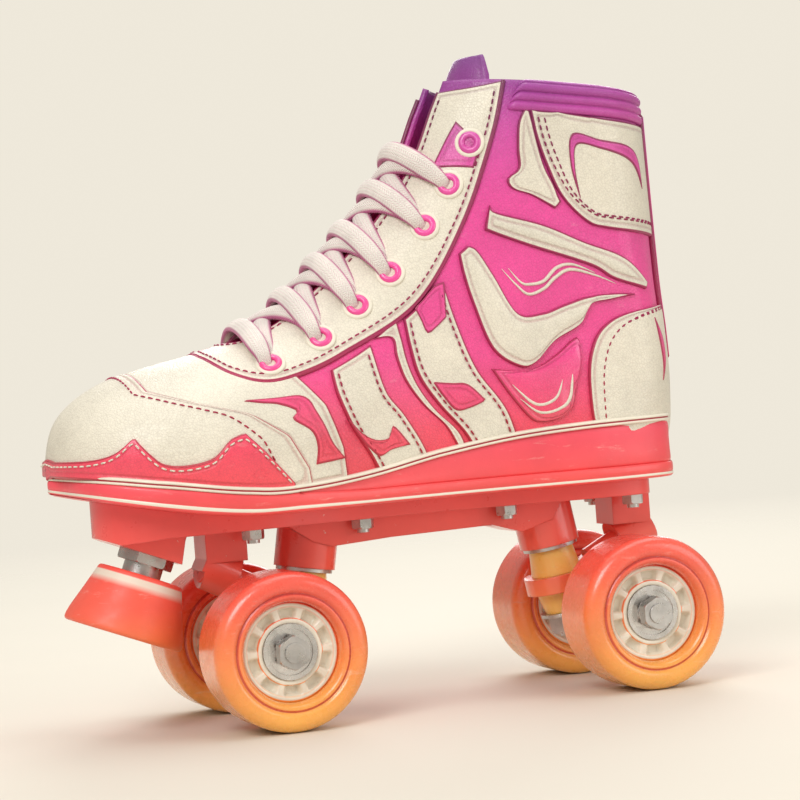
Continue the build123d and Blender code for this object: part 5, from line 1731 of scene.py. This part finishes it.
# ---- Operators: the stage ----
FLOOR_FADE = (0.30, 1.3)        # radii in metres between which the floor turns clear
AIM = Vector((0.0, 0.0, 0.13))
AIM_ASIDE = 0.0147
LAMPS = (("key_lamp", (-1.0, -1.1, 1.2), 0.9, 1.0), ("fill_lamp", (1.3, -1.2, 0.6), 1.2, 0.5),
         ("top_lamp", (0.2, 0.2, 1.8), 1.6, 0.9), ("back_lamp", (0.6, 1.3, 0.9), 1.0, 0.6))


class SKATE_OT_stage(bpy.types.Operator):
    """Makes the floor, the soft lights and the camera"""
    bl_idname = "skate.stage"
    bl_label = "Stage"
    bl_options = {"REGISTER", "UNDO"}

    def execute(self, context):
        stage = settings("stage")
        self.floor(stage)
        self.lights(stage)
        self.camera(stage)
        return {"FINISHED"}

    def floor(self, stage):
        """A disc: angle times radius on a grid of rings, closed at its middle.  Its finish
        thins out to clear between two radii, so that the floor runs into the backdrop."""
        radius = np.r_[0.0, 0.2, 0.5, 1.0, 2.0, 3.0]
        angle = np.linspace(0, 2 * np.pi, 96, endpoint=False)
        a, r = np.meshgrid(angle, radius, indexing="ij")
        p = np.stack([r * np.cos(a), r * np.sin(a), np.full(a.shape, -0.0002)], -1)
        mesh = bpy.data.meshes.new("floor")
        faces = grid_faces(96, len(radius), wrap_rows=True)
        mesh.from_pydata(p.reshape(-1, 3).tolist(), [], faces.tolist())
        piece = bpy.data.objects.new("floor", mesh)
        bpy.context.scene.collection.objects.link(piece)
        outward(piece, weld=True)
        f = Finish("studio_floor")
        f.set(Base_Color=f.tinted(tuple(0.8 * c for c in stage.floor), f.noise(3.0), 0.985, 1.01),
              Roughness=0.8)
        away = f.node("VectorMath", {0: f.coords}, operation="LENGTH").outputs["Value"]
        f.set(Alpha=f.fit(away, *FLOOR_FADE, 1.0, 0.0))
        mesh.materials.append(f.material)
        self.backdrop(stage)

    def backdrop(self, stage):
        """An even backdrop of the floor's colour, dimmer where it only lights the skate."""
        world = bpy.data.worlds.new("studio")
        bpy.context.scene.world = world
        world.use_nodes = True
        tree = world.node_tree
        sky = tree.nodes["Background"]
        sky.inputs["Color"].default_value = (*stage.floor, 1)
        seen = tree.nodes.new("ShaderNodeLightPath")
        level = tree.nodes.new("ShaderNodeMapRange")
        level.inputs["To Min"].default_value = stage.ambient
        tree.links.new(seen.outputs["Is Camera Ray"], level.inputs["Value"])
        tree.links.new(level.outputs["Result"], sky.inputs["Strength"])
        bpy.context.scene.view_settings.view_transform = "Standard"

    def lights(self, stage):
        """Large square lamps aimed at the boot's middle."""
        for name, place, width, share in LAMPS:
            lamp = bpy.data.lights.new(name, "AREA")
            lamp.shape = "SQUARE"
            lamp.size = width
            lamp.energy = stage.key_light * share
            held = bpy.data.objects.new(name, lamp)
            held.location = place
            held.rotation_euler = (AIM - Vector(place)).to_track_quat("-Z", "Y").to_euler()
            bpy.context.scene.collection.objects.link(held)

    def camera(self, stage):
        """The camera looks along its azimuth and elevation, leans by the roll, and aims a
        little beside the middle, so that it needs no shift."""
        a, e, roll = stage.azimuth, stage.elevation, stage.roll
        back = Vector((math.sin(a) * math.cos(e), -math.cos(a) * math.cos(e), math.sin(e)))
        right0 = Vector((math.cos(a), math.sin(a), 0.0))
        up0 = right0.cross(-back)
        right = right0 * math.cos(roll) - up0 * math.sin(roll)
        up = right.cross(-back)
        target = Vector((BOOT_SHIFT * MM, 0.0, 0.125)) + right * AIM_ASIDE
        camera = bpy.data.cameras.new("camera")
        camera.lens = stage.lens
        camera.sensor_width = 36.0
        camera.clip_start = 0.01
        held = bpy.data.objects.new("camera", camera)
        place = target + back * stage.distance
        held.matrix_world = Matrix(((right.x, up.x, back.x, place.x),
                                    (right.y, up.y, back.y, place.y),
                                    (right.z, up.z, back.z, place.z), (0, 0, 0, 1)))
        bpy.context.scene.collection.objects.link(held)
        bpy.context.scene.camera = held


# ---- Panel and registration ----
STEPS = (SKATE_OT_stage, SKATE_OT_vamp, SKATE_OT_quarters, SKATE_OT_toe, SKATE_OT_panels,
         SKATE_OT_eyestays, SKATE_OT_collar, SKATE_OT_lace, SKATE_OT_sole, SKATE_OT_wheels,
         SKATE_OT_toe_stop, SKATE_OT_metal)
GROUPS = (("skate_boot", SkateBootSettings), ("skate_lace", SkateLaceSettings),
          ("skate_wheels", SkateWheelSettings), ("skate_stage", SkateStageSettings))


class SKATE_PT_panel(bpy.types.Panel):
    """The skate's sizes and the steps that build it"""
    bl_idname = "SKATE_PT_panel"
    bl_label = "Quad Roller Skate"
    bl_space_type = "VIEW_3D"
    bl_region_type = "UI"
    bl_category = "Skate"

    def draw(self, context):
        for label, group in GROUPS:
            box = self.layout.box()
            held = getattr(context.scene, label)
            for prop in group.__annotations__:
                box.prop(held, prop)
        for step in STEPS:
            self.layout.operator(step.bl_idname)


def register():
    for label, group in GROUPS:
        bpy.utils.register_class(group)
        setattr(bpy.types.Scene, label, PointerProperty(type=group))
    for step in STEPS:
        bpy.utils.register_class(step)
    bpy.utils.register_class(SKATE_PT_panel)


def unregister():
    bpy.utils.unregister_class(SKATE_PT_panel)
    for step in reversed(STEPS):
        bpy.utils.unregister_class(step)
    for label, group in reversed(GROUPS):
        delattr(bpy.types.Scene, label)
        bpy.utils.unregister_class(group)


def main():
    register()
    for step in STEPS:
        getattr(bpy.ops.skate, step.bl_idname.split(".")[1])()


if __name__ == "__main__":
    main()
